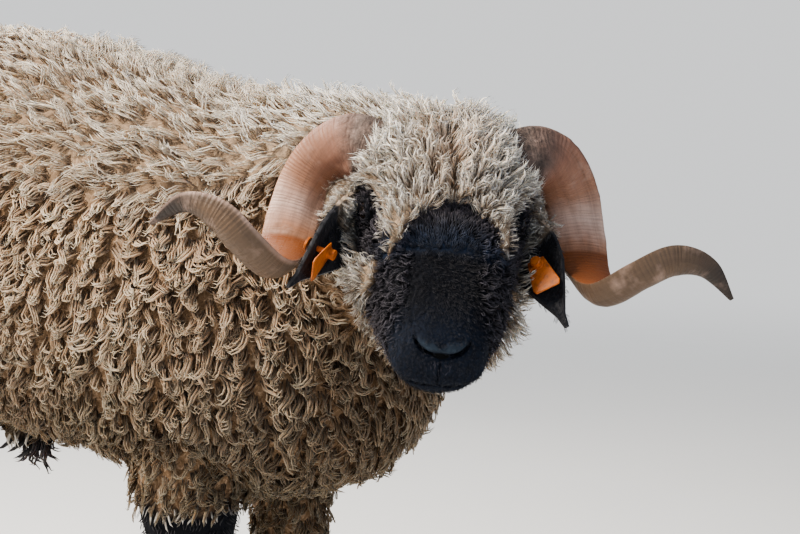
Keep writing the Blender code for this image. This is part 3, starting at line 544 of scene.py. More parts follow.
def faceRelief(points):
    side, along, normal = toFace(points)
    width = np.abs(side)
    lifted = np.full(len(points), -skullShape["underWool"])
    lifted += faceShape["woolRise"] * (1 - blackness(points)) * step(along, -0.12, -0.08)
    line = normal - faceShape["mouthNormal"] - 0.10 * np.maximum(0.115 - along, 0)
    forward = step(along, faceShape["mouthFrom"] - 0.006, faceShape["mouthFrom"] + 0.006)
    lifted += 0.0026 * bell(line - 0.009, 0.006) * forward * step(along, 0.10, 0.14)
    lifted += 0.0016 * bell(line + 0.008, 0.005) * forward * step(along, 0.10, 0.14)
    socket = np.sqrt(((width - eye["side"]) / 1.2) ** 2 + (along - eye["along"]) ** 2
                     + (normal - eye["deep"]) ** 2)
    lifted -= 0.0030 * bell(socket - 0.022, 0.008)
    lifted += 0.0040 * bell(along + 0.050, 0.018) * bell(normal + 0.022, 0.016) * step(width, 0.04, 0.06)
    lifted += 0.0030 * bell(along - 0.055, 0.030) * bell(normal + 0.055, 0.020)
    # the forelock of the mask overhangs the bridge of the nose
    lifted += 0.0080 * bell(along - 0.016, 0.018) * bell(side, 0.036) * step(normal, -0.03, -0.01)
    lifted -= 0.0030 * bell(along - 0.050, 0.011) * bell(side, 0.032) * step(normal, -0.03, -0.01)
    lifted += 0.0016 * bell(along - 0.095, 0.020) * bell(width - 0.026, 0.014) * step(normal, -0.04, -0.02)
    return lifted


def noseHeight(width, normal):
    # how far above the line of the nostrils a point is
    widths, heights = zip(*faceShape["noseLine"])
    return normal - np.interp(width, widths, heights)


def padShare(side, along, normal):
    # the bare pad above the nostrils, with a notch in its middle
    width = np.abs(side)
    high = noseHeight(width, normal)
    top = faceShape["padTop"] - 0.0028 * bell(side, 0.0040)
    share = step(high, 0.0002, 0.0020) * (1 - step(normal - top, -0.0022, 0.0008))
    return share * (1 - step(width, faceShape["padWide"] - 0.004, faceShape["padWide"])) * step(along, 0.118, 0.130)


def slitShare(side, along, normal):
    # the V of the two nostrils, between the pad and the lip; the skin is painted near black there as shade in the slits
    width = np.abs(side)
    lip = normal - np.interp(width, *zip(*faceShape["lipLine"]))
    share = step(-noseHeight(width, normal), -0.0004, 0.0010) * step(lip, -0.0006, 0.0010)
    return share * (1 - step(width, 0.0225, 0.0265)) * step(along, 0.118, 0.128)


def muzzleRelief(points):
    # the fine forms of nose, lips and chin
    side, along, normal = toFace(points)
    width = np.abs(side)
    slit = slitShare(side, along, normal)
    deep = faceShape["nostrilDeep"] * (0.18 + 0.82 * step(width, 0.005, 0.015))
    lifted = faceShape["padRise"] * padShare(side, along, normal) - deep * slit
    high = noseHeight(width, normal)
    lifted += 0.0014 * bell(high + 0.0062, 0.0022) * step(width, 0.010, 0.017) * (1 - step(width, 0.026, 0.031)) \
        * step(along, 0.118, 0.128)
    line = normal - faceShape["mouthNormal"] - 0.10 * np.maximum(0.115 - along, 0) - 0.0020 * bell(side, 0.007)
    forward = step(along, faceShape["mouthFrom"] - 0.006, faceShape["mouthFrom"] + 0.006)
    lifted -= faceShape["mouthDeep"] * bell(line, 0.0013) * forward
    below = step(-high, 0.0065, 0.0085) * step(line, 0.0004, 0.0035)
    lifted -= faceShape["philtrumDeep"] * bell(side, 0.0010) * below * step(along, 0.135, 0.145)
    lifted += 0.0009 * bell(width - 0.0055, 0.0030) * below * step(along, 0.135, 0.145)
    grain = np.array([noise.noise(Vector(point) * 520) for point in points])
    return lifted + 0.00022 * grain * step(along, 0.120, 0.135)


def refineMuzzle(skin):
    # finer faces where the nose and the mouth are, then their forms
    for reach, lowest in ((0.116, -0.070), (0.130, -0.060)):
        form = bmesh.new()
        form.from_mesh(skin.data)
        centres = np.array([face.calc_center_median() for face in form.faces])
        side, along, normal = toFace(centres)
        near = (along > reach) & (normal > lowest) & (normal < 0.004) & (np.abs(side) < 0.045)
        form.faces.ensure_lookup_table()
        edges = {edge for number in np.flatnonzero(near) for edge in form.faces[number].edges}
        bmesh.ops.subdivide_edges(form, edges=list(edges), cuts=1, use_grid_fill=True)
        bmesh.ops.triangulate(form, faces=[face for face in form.faces if len(face.verts) > 4])
        form.to_mesh(skin.data)
        form.free()
    skin.data.shade_smooth()
    moveAlongNormals(skin, muzzleRelief)
    print("muzzle refined:", sum(len(face.vertices) - 2 for face in skin.data.polygons), "triangles")


def makeSkull():
    sides = 120
    rings = []
    for along, top, mid, bottom, half, jaw in spread(skullShape["stations"], 150):
        ring = []
        for i in range(sides):
            turn = 2 * math.pi * (i + 0.5) / sides
            c, s = math.cos(turn), math.sin(turn)
            reach = top - mid if s > 0 else mid - bottom
            slim = 1 - jaw * max(0.0, -s) ** 1.5
            across = half * slim * math.copysign(abs(c) ** 0.85, c)
            ring.append(onFace(across, along, mid + reach * math.copysign(abs(s) ** 0.85, s)))
        rings.append(ring)
    skull = moveAlongNormals(loft("skullForm", rings, bench), faceRelief)
    return [skull] + [makeLid(side) for side in (-1, 1)]


def makeLid(side):
    # the rim round one eye, thicker above
    middle = Vector((side * eye["side"], eye["along"], eye["deep"]))
    look = Vector((side * 0.90, 0.28, 0.33)).normalized()
    along = Vector((0, 1, -0.25))
    along = (along - look * along.dot(look)).normalized()
    upward = look.cross(along) * side
    path, radii = [], []
    for i in range(40):
        turn = 2 * math.pi * i / 40
        place = (middle + look * faceShape["lidOut"] + along * faceShape["lidWide"] * math.cos(turn)
                 + upward * faceShape["lidHigh"] * math.sin(turn))
        path.append(onFace(*place))
        radii.append(faceShape["lidThick"] * (1.0 + 0.25 * abs(math.sin(turn))))
    return tube("lid", path, radii, 10, True, bench)


def fused(name, forms, grain, smoothings):
    # one skin round closed forms that overlap
    points, faces = [], []
    for form in forms:
        base = len(points)
        points += [vertex.co.copy() for vertex in form.data.vertices]
        faces += [tuple(base + k for k in face.vertices) for face in form.data.polygons]
        bpy.data.objects.remove(form)
    made = meshObject(name, points, faces, bench)
    remesh = made.modifiers.new("fuse", "REMESH")
    remesh.mode = "VOXEL"
    remesh.voxel_size = grain
    if smoothings:
        soft = made.modifiers.new("soften", "SMOOTH")
        soft.factor = 0.5
        soft.iterations = smoothings
    return applied(made)


def makeSkin():
    body = [makeTrunk(), makeNeck(), makeTail(), makeHanging("purse"), makeHanging("sheath")]
    for name, foot in feet.items():
        fore = name.startswith("front")
        body += makeLeg(foot, legShape["fore" if fore else "hind"], -1 if fore else 1)
    skin = fused("skin", body, skinMaking["bodyGrain"], skinMaking["smoothings"])
    head = fused("skinHead", makeSkull(), skullShape["grain"], 1)
    bench.objects.unlink(head)
    joined = newCollection("joined")
    joined.objects.link(head)
    union = skin.modifiers.new("join", "BOOLEAN")
    union.operation = "UNION"
    union.operand_type = "COLLECTION"
    union.collection = joined
    union.solver = "MANIFOLD"
    applied(skin)
    bpy.data.objects.remove(head)
    bpy.data.collections.remove(joined)
    bench.objects.unlink(skin)
    ram.objects.link(skin)
    skin.data.shade_smooth()
    print("skin:", len(skin.data.polygons), "faces")
    return skin


# Horns: side, out, up, width, thickness and the broad face's look, in the head's frame
hornShape = {
    "right": (
        (-0.034, -0.052, 0.030, 0.044, 0.038, 0.0, 0.9, 0.4), (-0.058, -0.056, 0.052, 0.050, 0.040, 0.0, 0.9, 0.4),
        (-0.086, -0.066, 0.060, 0.054, 0.040, 0.0, 1.0, 0.2), (-0.113, -0.088, 0.043, 0.052, 0.038, 0.2, 1.0, 0.0),
        (-0.128, -0.094, 0.015, 0.050, 0.035, 0.2, 1.0, 0.2), (-0.136, -0.082, -0.018, 0.047, 0.032, 0.1, 0.8, 0.6),
        (-0.142, -0.050, -0.045, 0.045, 0.030, 0.0, 0.3, 1.0), (-0.156, -0.016, -0.056, 0.043, 0.027, 0.0, -0.2, 1.0),
        (-0.180, 0.007, -0.040, 0.039, 0.024, 0.3, -0.6, 0.8), (-0.204, 0.011, -0.020, 0.034, 0.021, 0.3, -0.7, 0.7),
        (-0.234, -0.002, -0.011, 0.024, 0.016, 0.0, -0.5, 0.9), (-0.264, -0.018, -0.033, 0.005, 0.004, -0.3, -0.3, 0.9)),
    "left": (
        (0.034, -0.046, 0.034, 0.044, 0.038, 0.0, 0.9, 0.4), (0.058, -0.048, 0.057, 0.050, 0.040, 0.0, 0.9, 0.4),
        (0.084, -0.056, 0.065, 0.054, 0.040, 0.0, 1.0, 0.2), (0.108, -0.077, 0.054, 0.052, 0.038, -0.2, 1.0, 0.0),
        (0.124, -0.086, 0.028, 0.050, 0.035, -0.2, 1.0, 0.2), (0.131, -0.074, -0.004, 0.047, 0.032, -0.1, 0.8, 0.6),
        (0.136, -0.042, -0.034, 0.045, 0.030, 0.0, 0.3, 1.0), (0.150, -0.004, -0.052, 0.043, 0.027, 0.0, -0.2, 1.0),
        (0.176, 0.022, -0.035, 0.039, 0.024, -0.3, -0.6, 0.8), (0.204, 0.026, -0.021, 0.034, 0.021, -0.3, -0.7, 0.7),
        (0.236, 0.018, -0.024, 0.024, 0.016, 0.0, -0.5, 0.9), (0.264, 0.008, -0.050, 0.005, 0.004, 0.3, -0.3, 0.9)),
    "rings": 260, "sides": 56, "growthRings": 15, "ringHeight": 0.00045, "keel": 0.12, "gutter": 0.10, "woolUpTo": 0.20,
}


# Ears: root, tip and the way the cup opens in the head's frame, then how far along and across it the tag
# sits and how many degrees that turns about the ear
earShape = {
    "right": ((-0.078, -0.082, 0.006), (-0.136, 0.008, -0.078), (0.60, 0.80, 0.10), 0.66, 0.45, -22.0),
    "left": ((0.078, -0.082, 0.000), (0.118, 0.000, -0.090), (-0.25, 0.95, 0.1), 0.52, 0.0, 0.0),
    "wide": 0.056, "thick": 0.0036, "bend": 0.010, "rows": 44, "columns": 28,
    "woolUpTo": {"right": 0.34, "left": 0.28},
}


class EarSheet:
    # the curved sheet of one ear
    def __init__(self, word):
        root, tip, opening, self.tagAlong, self.tagAcross, self.tagTurn = earShape[word]
        self.root, tip = onHead(*root), onHead(*tip)
        self.heading = (tip - self.root).normalized()
        self.length = (tip - self.root).length
        look = headTurn @ Vector((opening[0], -opening[1], opening[2]))
        self.look = (look - self.heading * look.dot(self.heading)).normalized()
        self.across = self.heading.cross(self.look)

    def at(self, t, v):
        fullness = 0.42 + 0.58 * math.sin(math.pi * min(t / 0.9, 1.0) ** 0.75) - 0.36 * max(0.0, t - 0.55) / 0.45
        half = earShape["wide"] / 2 * fullness
        curl = 1.15 - 0.75 * t
        angle = v * curl
        radius = half / curl
        place = (self.root + self.heading * self.length * t
                 + self.look * (earShape["bend"] * math.sin(math.pi * t) + radius * (1 - math.cos(angle)))
                 + self.across * radius * math.sin(angle))
        return place, self.look * math.cos(angle) - self.across * math.sin(angle)


# Where the coat is black, long or short, and how it lies. Lengths in metres
markings = {
    "maskTop": -0.015,
    "maskTopSide": 0.008,      # the mask's top leans to the ram's left
    "maskTopCurve": 0.027,
    "maskEdge": 0.005,
    "patchLong": 0.047,
    "patchWide": 0.020,
    "leftPatchLower": 0.002,
    "cheekBlob": ((-0.066, 0.043, -0.046), (0.016, 0.019, 0.020)),
    "kneeRight": (0.245, 0.366), "kneeLeft": (0.200, 0.285),
    "hockFrom": 0.285, "hockTo": 0.380,
    "footBelow": 0.085,
    "sheath": (0.332, 0.350),
}
coatLengths = {
    "back": 0.036, "flank": 0.036, "breast": 0.040, "poll": 0.037, "jaw": 0.020, "throat": 0.028,
    "mask": 0.0055, "forelock": 0.015, "cheek": 0.0120, "patch": 0.0145, "rim": 0.024, "whisker": 0.0085, "muzzle": 0.0038, "leg": 0.030, "shin": 0.017,
    "short": 0.009, "tail": 0.034, "ear": 0.0065, "least": 0.009,
}
regionNames = ("rump", "flankRight", "flankLeft", "shoulderRight", "shoulderLeft", "breast", "neck",
               "tail", "poll", "jaw", "mask", "cheek", "legs", "shins", "short", "withers", "whiskers")


def blackness(points):
    # 1 where the coat is black
    side, along, normal = toFace(points)
    onHeadHere = step(along, -0.12, -0.09) * step(normal, -0.19, -0.17)
    width = np.abs(side)
    centred = side - markings["maskTopSide"]
    edge = markings["maskTop"] + markings["maskTopCurve"] * (centred / 0.040) ** 2 * (width < 0.05) \
        + 0.035 * (width >= 0.05)
    wander = 0.003 * np.sin(side * 260) + 0.002 * np.sin(side * 610 + 1.3)
    soft = markings["maskEdge"]
    mask = step(along - edge - wander, -soft, soft)
    lowEdge = -0.052 - 0.48 * np.maximum(along - 0.03, 0)
    chin = step(along, 0.112, 0.122)
    mask = mask * np.maximum(step(normal - lowEdge, -soft, soft), chin)
    centre, reach = markings["cheekBlob"]
    blob = ((side - centre[0]) / reach[0]) ** 2 + ((along - centre[1]) / reach[1]) ** 2 \
        + ((normal - centre[2]) / reach[2]) ** 2
    mask = mask * step(blob, 0.75, 1.25)
    patch = step(-patchDistance(side, along, normal), -1.2, -0.8) * step(width, 0.038, 0.046)
    black = np.maximum(mask, patch) * onHeadHere
    x, y, z = (points - np.array(shift)).T
    low = np.where(x < 0, markings["kneeRight"][0], markings["kneeLeft"][0])
    high = np.where(x < 0, markings["kneeRight"][1], markings["kneeLeft"][1])
    uneven = 0.006 * np.sin(x * 150 + y * 110)
    knee = step(z - low - uneven, -0.008, 0.008) * step(high - z + uneven, -0.008, 0.008) * (y < 0.30)
    hock = step(z, markings["hockFrom"] - 0.01, markings["hockFrom"] + 0.01) \
        * step(-z, -markings["hockTo"] - 0.010, -markings["hockTo"] + 0.010) * (y > 0.54)
    foot = step(-z, -markings["footBelow"] - 0.008, -markings["footBelow"] + 0.006)
    tuft = np.sqrt(x ** 2 + (y - markings["sheath"][0]) ** 2 + (z - markings["sheath"][1]) ** 2)
    tuft = step(-tuft, -0.046, -0.034)
    return np.maximum(black, np.maximum.reduce([knee, hock, foot, tuft]) * (1 - onHeadHere))


def patchDistance(side, along, normal):
    # 1 at the edge of the black patch round each eye, more beyond it
    lower = markings["leftPatchLower"] * (side > 0)
    return ((along - eye["along"] - 0.014) / markings["patchLong"]) ** 2 \
        + ((normal - eye["deep"] + lower) / markings["patchWide"]) ** 2


def obstacles():
    # points along the horns beyond their roots and over the ears, with the room the wool leaves them
    spots, rooms = [], []
    for word in ("right", "left"):
        rows = spread(hornShape[word], 120)
        for i, row in enumerate(rows):
            if i / len(rows) > hornShape["woolUpTo"]:
                spots.append(onHead(*row[:3]))
                rooms.append(max(row[3], row[4]) * 0.5)
        sheet = EarSheet(word)
        for i in range(5, 12):
            for k in range(-3, 4):
                spots.append(sheet.at(i / 11, k / 3)[0])
                rooms.append(0.002)
    return np.array(spots), np.array(rooms)


def roomRound(points):
    spots, rooms = obstacles()
    nearest = np.full(len(points), 1.0)
    for spot, room in zip(spots, rooms):
        nearest = np.minimum(nearest, np.linalg.norm(points - spot, axis=1) - room)
    return nearest


def markSkin(skin):
    # gives each point of the skin its region, its coat's length and lie, and its colour, painted highlight, painted
    # shade and painted sheen among its marks
    data = skin.data
    points, out = coordinates(data), normals(data)
    side, along, normal = toFace(points)
    width = np.abs(side)
    x, y, z = (points - np.array(shift)).T
    black = blackness(points)
    head = (along > -0.120) & (normal > -0.180) & (width < 0.16) & (y < -0.20)
    wool = np.full(len(points), coatLengths["flank"])
    high = step(out[:, 2], 0.2, 0.8)
    wool += (coatLengths["back"] - coatLengths["flank"]) * high
    front = step(-y, -0.10, 0.12) * step(-z, -0.74, -0.62)
    wool += (coatLengths["breast"] - coatLengths["flank"]) * front
    nearEye = np.sqrt((width - eye["side"]) ** 2 + (along - eye["along"]) ** 2 + (normal - eye["deep"]) ** 2)
    onLeg = (z < 0.43) & (np.abs(np.abs(x) - legShape["spread"]) < 0.085) & (np.abs(out[:, 2]) < 0.75)
    wool = np.where(onLeg, coatLengths["leg"], wool)
    kneeTop = np.where(x < 0, markings["kneeRight"][1], markings["kneeLeft"][1])
    shinTop = np.where(y > 0.3, markings["hockTo"], kneeTop)
    shin = (z < shinTop) & ~head & (np.abs(np.abs(x) - legShape["spread"]) < 0.085)
    wool = np.where(shin, coatLengths["shin"], wool)
    purse = (np.abs(x) < 0.06) & (np.abs(y - 0.482) < 0.055) & (z < 0.40)
    short = (shin & (black > 0.5)) | ((z < 0.125) & ~head)
    wool = np.where(short | purse, coatLengths["short"], wool)
    shin = shin | purse
    tail = (y > 0.712) & (np.abs(x) < 0.07) & (z < 0.77)
    wool = np.where(tail, coatLengths["tail"], wool)
    nearPatch = patchDistance(side, along, normal)
    pollLength = coatLengths["poll"] * (0.60 + 0.40 * step(-along, 0.0, 0.06))
    pollLength *= 1 - 0.66 * bell(nearPatch - 1.2, 1.3) * step(normal, -0.045, -0.020)
    wool = np.where(head, pollLength, wool)
    jaw = head & (normal < -0.045) & (along > -0.075)
    chinward = 1 - 0.62 * step(along, 0.030, 0.095)
    wool = np.where(jaw, coatLengths["jaw"] * chinward, wool)
    wool += 0.012 * (jaw & (side > 0.02)) * (1 - step(along, 0.08, 0.11))
    throat = jaw & (normal < -0.082) & (along < 0.06)
    wool = np.where(throat, coatLengths["throat"] * chinward, wool)
    mask = head & (black > 0.5)
    cheek = mask & ((width > 0.030 + 0.10 * np.maximum(along - 0.08, 0)) | (normal < -0.035)) & (along < 0.128)
    maskLength = coatLengths["mask"] + (coatLengths["forelock"] - coatLengths["mask"]) \
        * bell(along - 0.008, 0.024) * step(normal, -0.035, -0.015)
    maskLength += (coatLengths["muzzle"] - coatLengths["mask"]) * step(along, 0.112, 0.126)
    maskLength = np.where(cheek, coatLengths["cheek"] * (1 - 0.55 * step(along, 0.10, 0.128)), maskLength)
    onPatch = mask & (nearPatch < 1.3) & (width > 0.040)
    maskLength = np.where(onPatch, coatLengths["patch"] * (0.55 + 0.45 * step(nearEye, 0.012, 0.030)), maskLength)
    wool = np.where(mask, maskLength, wool)
    rim = head & ~mask & (normal < -0.040) & (along > -0.045) & (along < 0.035) & (width > 0.055)
    wool = np.where(rim, coatLengths["rim"], wool)
    room = np.maximum(roomRound(points), coatLengths["rim"] * rim)
    wool = np.minimum(wool, np.maximum(np.where(mask, 0.004, coatLengths["least"]), room * 1.15))
    whisker = mask & (along > 0.118) & (normal < -0.0250) & (normal > -0.038) & (width < 0.015)
    wool = np.where(whisker, coatLengths["whisker"] * (1 - 0.45 * bell(side, 0.014)), wool)
    region = np.select(
        [whisker, cheek, mask, throat, jaw & ~rim, head, tail, short, shin, onLeg, (high > 0.45) & (y < 0.26),
         (y < -0.085) & (z < 0.56), y < -0.085,
         y > 0.47, (y < 0.17) & (x < 0), y < 0.17, x < 0],
        [regionNames.index(word) for word in
         ("whiskers", "cheek", "mask", "neck", "jaw", "poll", "tail", "short", "shins", "legs", "withers", "breast", "neck", "rump",
          "shoulderRight", "shoulderLeft", "flankRight")], regionNames.index("flankLeft"))
    pad = padShare(side, along, normal) * head
    slit = slitShare(side, along, normal) * head
    cover = step(nearEye, 0.0105, 0.0130) * step(room, -0.006, 0.001) * (1 - step(pad + slit, 0.2, 0.5))
    # the lie: down and back on the body, up from the mask and outwards on the head
    lie = np.stack([0.35 * np.sign(x) * high, 0.30 + 0.3 * high, -1.0 + 0.6 * high], axis=1)
    lie[:, 1] -= 0.45 * step(-y, -0.14, 0.04) * (1 - high)
    lie[shin | onLeg | tail] = (0.0, 0.10, -1.0)
    down = np.array(onFace(0, 1, 0) - onFace(0, 0, 0))
    up = np.array(onFace(0, 0, 1) - onFace(0, 0, 0))
    left = np.array(onFace(1, 0, 0) - onFace(0, 0, 0))
    crown = np.clip((along + 0.065) / 0.05, -1, 1)
    outer = np.clip(side / 0.05, -1, 1) * (0.9 - 0.7 * bell(nearPatch - 1.0, 1.2))
    pollLie = -down[None, :] * (0.35 + 0.5 * crown)[:, None] + left[None, :] * outer[:, None]
    jawLie = down[None, :] * 0.85 - up[None, :] * 0.40 + left[None, :] * (np.clip(side / 0.03, -1, 1) * 0.45)[:, None]
    maskLie = -down[None, :] * 0.9 + left[None, :] * (np.clip(side / 0.05, -1, 1) * 0.8)[:, None]
    lie = np.where(head[:, None], pollLie, lie)
    lie = np.where(jaw[:, None], jawLie, lie)
    patchLie = left[None, :] * np.sign(side)[:, None] * 0.5 + down[None, :] * 0.8
    lie = np.where(onPatch[:, None], patchLie, lie)
    rimLie = left[None, :] * np.sign(side)[:, None] * 1.0 + up[None, :] * 0.6
    lie = np.where(rim[:, None], rimLie, lie)
    lie = np.where((mask & (along < 0.040))[:, None], maskLie, lie)
    lie = np.where((mask & (along >= 0.040))[:, None], jawLie, lie)
    lie -= out * np.sum(lie * out, axis=1)[:, None]
    lie /= np.linalg.norm(lie, axis=1)[:, None] + 1e-9
    ginger = bell(side, 0.030) * bell(along + 0.055, 0.045) * head
    # the pale mark: white shins and the cream poll are the wool's own colour; the whiter tops of back, neck and nape,
    # where the skin faces up, are painted highlight
    paleAndHighlight = np.maximum(high * (0.5 + 0.5 * step(-y, 0.02, 0.16)) * (z > 0.66) + 1.3 * shin * (z < 0.27), 0.85 * head * (1 - black) * step(normal, -0.092, -0.076))
    writeAttribute(data, "black", black)
    writeAttribute(data, "coatLength", wool)
    writeAttribute(data, "ginger", ginger)
    writeAttribute(data, "paleAndHighlight", paleAndHighlight)
    # darker towards the belly: partly soil in the wool, partly painted shade of the lower body
    writeAttribute(data, "soilAndShade", step(-z, -0.66, -0.38) * (1 - head) * (1 - shin * (z < 0.27)))
    writeAttribute(data, "pad", pad)
    writeAttribute(data, "slit", slit)
    onTop = step(normal, -0.035, -0.015)
    writeAttribute(data, "ash", mask * (bell(along + 0.004, 0.020) * onTop + 0.55 * cheek
                                         + 2.2 * bell(side, 0.012) * bell(normal + 0.028, 0.005) * (along > 0.11)))
    # painted blue sheen: sky light reflected along the forelock's overhang and on the muzzle's sides
    writeAttribute(data, "blueSheen", mask * (bell(along - 0.032, 0.009) * onTop + 0.35 * step(along, 0.09, 0.13)))
    writeAttribute(data, "cover", cover)
    writeAttribute(data, "lie", lie, "FLOAT_VECTOR")
    corners = np.zeros(len(data.loops), np.int32)
    data.loops.foreach_get("vertex_index", corners)
    starts = np.zeros(len(data.polygons), np.int32)
    data.polygons.foreach_get("loop_start", starts)
    writeRegion(data, region[corners[starts]])
    lumpy = step(wool, 0.022, 0.028) * (1 - head)
    amount = np.array([woolLump(point) for point in points]) * lumpy
    data.vertices.foreach_set("co", (points + out * amount[:, None]).ravel())
    data.update()


def woolLump(point):
    # staples of the under wool: rounded lumps with creases between them
    spot = Vector((point[0] * 62, point[1] * 62, point[2] * 44))
    near = noise.voronoi(spot)[0]
    return 0.0042 * (min(near[1] - near[0], 0.7) - 0.30) + 0.0030 * noise.noise(spot * 0.31)


def writeRegion(data, values):
    made = data.attributes.new("region", "INT", "FACE")
    made.data.foreach_set("value", np.ascontiguousarray(values, np.int32))


def writeAttribute(data, name, values, kind="FLOAT"):
    made = data.attributes.new(name, kind, "POINT")
    made.data.foreach_set("vector" if kind == "FLOAT_VECTOR" else "value",
                          np.ascontiguousarray(values, np.float32).ravel())


def unwrapSkin(skin):
    # the map that the locks' own maps hang from
    bpy.context.view_layer.objects.active = skin
    skin.select_set(True)
    skin.data.uv_layers.new(name="skinMap")
    bpy.ops.object.mode_set(mode="EDIT")
    bpy.ops.mesh.select_all(action="SELECT")
    bpy.ops.uv.smart_project(angle_limit=math.radians(72), island_margin=0.002)
    bpy.ops.object.mode_set(mode="OBJECT")
    skin.select_set(False)


# Locks of wool of length 1 along +Y: broad bands of fibres side by side, with a few loose wisps.
# Counts are bands and wisps, steps along each, and widths and spread as shares of the length

lockStyles = {
    "fleece": {"bands": (4, 5, 0.076), "wisps": (0, 3, 0.03), "spread": 0.095, "gather": 0.45, "flat": 0.60,
               "waves": 1.45, "sway": 0.95, "lift": 0.62, "settle": 0.10, "hook": 3.6, "frizz": 0.18,
               "variants": 16},
    "breast": {"bands": (4, 5, 0.072), "wisps": (0, 3, 0.03), "spread": 0.095, "gather": 0.50, "flat": 0.60,
               "waves": 1.1, "sway": 0.95, "lift": 0.58, "settle": 0.08, "hook": 4.6, "frizz": 0.15,
               "variants": 16},
    "down": {"bands": (5, 3, 0.052), "wisps": (2, 3, 0.024), "spread": 0.130, "gather": 0.10, "flat": 0.65,
             "waves": 1.5, "sway": 0.75, "lift": 1.00, "settle": 0.35, "hook": 1.8, "frizz": 0.45,
             "variants": 12},
    "fluff": {"bands": (1, 3, 0.120), "wisps": (5, 3, 0.033), "spread": 0.120, "gather": 0.0, "flat": 0.50,
              "waves": 1.1, "sway": 0.80, "lift": 1.35, "settle": 0.55, "hook": 1.8, "frizz": 0.50,
              "variants": 12},
    "curl": {"bands": (3, 4, 0.105), "wisps": (0, 3, 0.05), "spread": 0.16, "gather": 0.5, "flat": 0.65,
             "waves": 0.8, "sway": 0.8, "lift": 1.15, "settle": 0.20, "hook": 3.4, "frizz": 0.7,
             "variants": 9},
    "bristle": {"bands": (2, 3, 0.060), "wisps": (1, 3, 0.04), "spread": 0.16, "gather": 0.0, "flat": 0.9,
                "waves": 0.3, "sway": 0.4, "lift": 0.95, "settle": 0.35, "hook": 0.9, "frizz": 0.9,
                "variants": 8},
    "hair": {"bands": (3, 3, 0.100), "wisps": (0, 3, 0.05), "spread": 0.20, "gather": 0.1, "flat": 0.6,
             "waves": 0.3, "sway": 0.35, "lift": 0.60, "settle": 0.20, "hook": 0.3, "frizz": 0.7,
             "variants": 8},
}


def strandTrack(style, steps, waves, phase, hook, long):
    # a wavy path of the given length that rises, settles and hooks at its end
    count = 24
    marks = strandMarks(steps)
    place, track = Vector(), [Vector()]
    for i in range(count):
        t = (i + 0.5) / count
        heading = style["sway"] * math.sin(2 * math.pi * waves * t + phase) * (0.35 + 0.65 * t) \
            + hook * max(0, (t - 0.55) / 0.45) ** 1.3
        rise = style["lift"] * (1 - t) + style["settle"] * t \
            + 0.40 * style["sway"] * math.cos(2 * math.pi * waves * t + phase) * t
        place = place + Vector((math.sin(heading) * math.cos(rise), math.cos(heading) * math.cos(rise),
                                math.sin(rise))) * (long / count)
        if (i + 1) / count >= marks[len(track)] - 0.01:
            track.append(place.copy())
    return track


def strandMarks(steps):
    # how far along a strand its rings are, closer together near its end
    return [(i / steps) ** 0.8 for i in range(steps + 1)]


def makeLock(name, style, draw, where):
    # bands and wisps that share one wave; fibre runs from 0 to 1 across a band, for the streaks
    phase = draw.uniform(0, 2 * math.pi)
    waves = style["waves"] * draw.uniform(0.8, 1.25)
    hook = style["hook"] * draw.uniform(0.5, 1.3) * draw.choice((-1, 1))
    frizz, sides = style["frizz"], 3
    points, faces, maps, tips, hairs, fibres = [], [], [], [], [], []
    strands = [(kind, number) for kind in ("bands", "wisps") for number in range(style[kind][0])]
    for kind, number in strands:
        many, steps, width = style[kind]
        loose = 1.0 if kind == "bands" else 2.2
        track = strandTrack(style, steps, waves * (1 + 0.2 * frizz * draw.uniform(-1, 1)),
                            phase + frizz * loose * draw.uniform(-1, 1), hook * draw.uniform(0.85, 1.15),
                            draw.uniform(0.80, 1.0))
        place = (number - (many - 1) / 2) / max(1, (many - 1) / 2)
        root = Vector((style["spread"] * (place + draw.uniform(-0.2, 0.2)), draw.uniform(-0.08, 0.08),
                       0.035 * (1 - place * place)))
        shade, base = draw.random(), len(points)
        for i, t in enumerate(strandMarks(steps)[:-1]):
            heading = (track[i + 1] - track[max(i - 1, 0)]).normalized()
            across = heading.cross(Vector((0, 0, 1)))
            across = across.normalized() if across.length > 0.05 else Vector((1, 0, 0))
            upward = across.cross(heading)
            half = width / 2 * min(1.0, 0.62 + 1.5 * t) * (1 - t ** 2.6) ** 0.8
            centre = track[i] + root * (1 - style["gather"] * t)
            for k in range(sides):
                angle = 2 * math.pi * k / sides + math.pi / 2
                points.append(centre + across * half * math.cos(angle)
                              + upward * half * style["flat"] * math.sin(angle))
                maps.append((k / sides, t, 0))
                tips.append(t)
                hairs.append(shade)
                fibres.append((0.5, 0.0, 1.0)[k] + number * 1.7)
        points.append(track[-1] + root * (1 - style["gather"]))
        maps.append((0.5, 1, 0))
        tips.append(1.0)
        hairs.append(shade)
        fibres.append(0.5 + number * 1.7)
        for i in range(steps - 1):
            for k in range(sides):
                near, far = base + i * sides, base + (i + 1) * sides
                faces.append((near + k, near + (k + 1) % sides, far + (k + 1) % sides, far + k))
        last = base + (steps - 1) * sides
        for k in range(sides):
            faces.append((last + k, last + (k + 1) % sides, len(points) - 1))
        faces.append(tuple(range(base + sides - 1, base - 1, -1)))
    lock = outwards(meshObject(name, points, faces, where))
    writeAttribute(lock.data, "lockMap", np.array(maps), "FLOAT_VECTOR")
    writeAttribute(lock.data, "tip", np.array(tips))
    writeAttribute(lock.data, "hair", np.array(hairs))
    writeAttribute(lock.data, "fibre", np.array(fibres))
    return lock


def lockSet(name):
    style = lockStyles[name]
    where = bpy.data.collections.new(name + "Locks")
    bench.children.link(where)
    draw = random.Random(len(name) * 31 + 5)
    for i in range(style["variants"]):
        makeLock("%s%d" % (name, i), style, draw, where)
    return where


# The tree that sets locks on one region of the skin

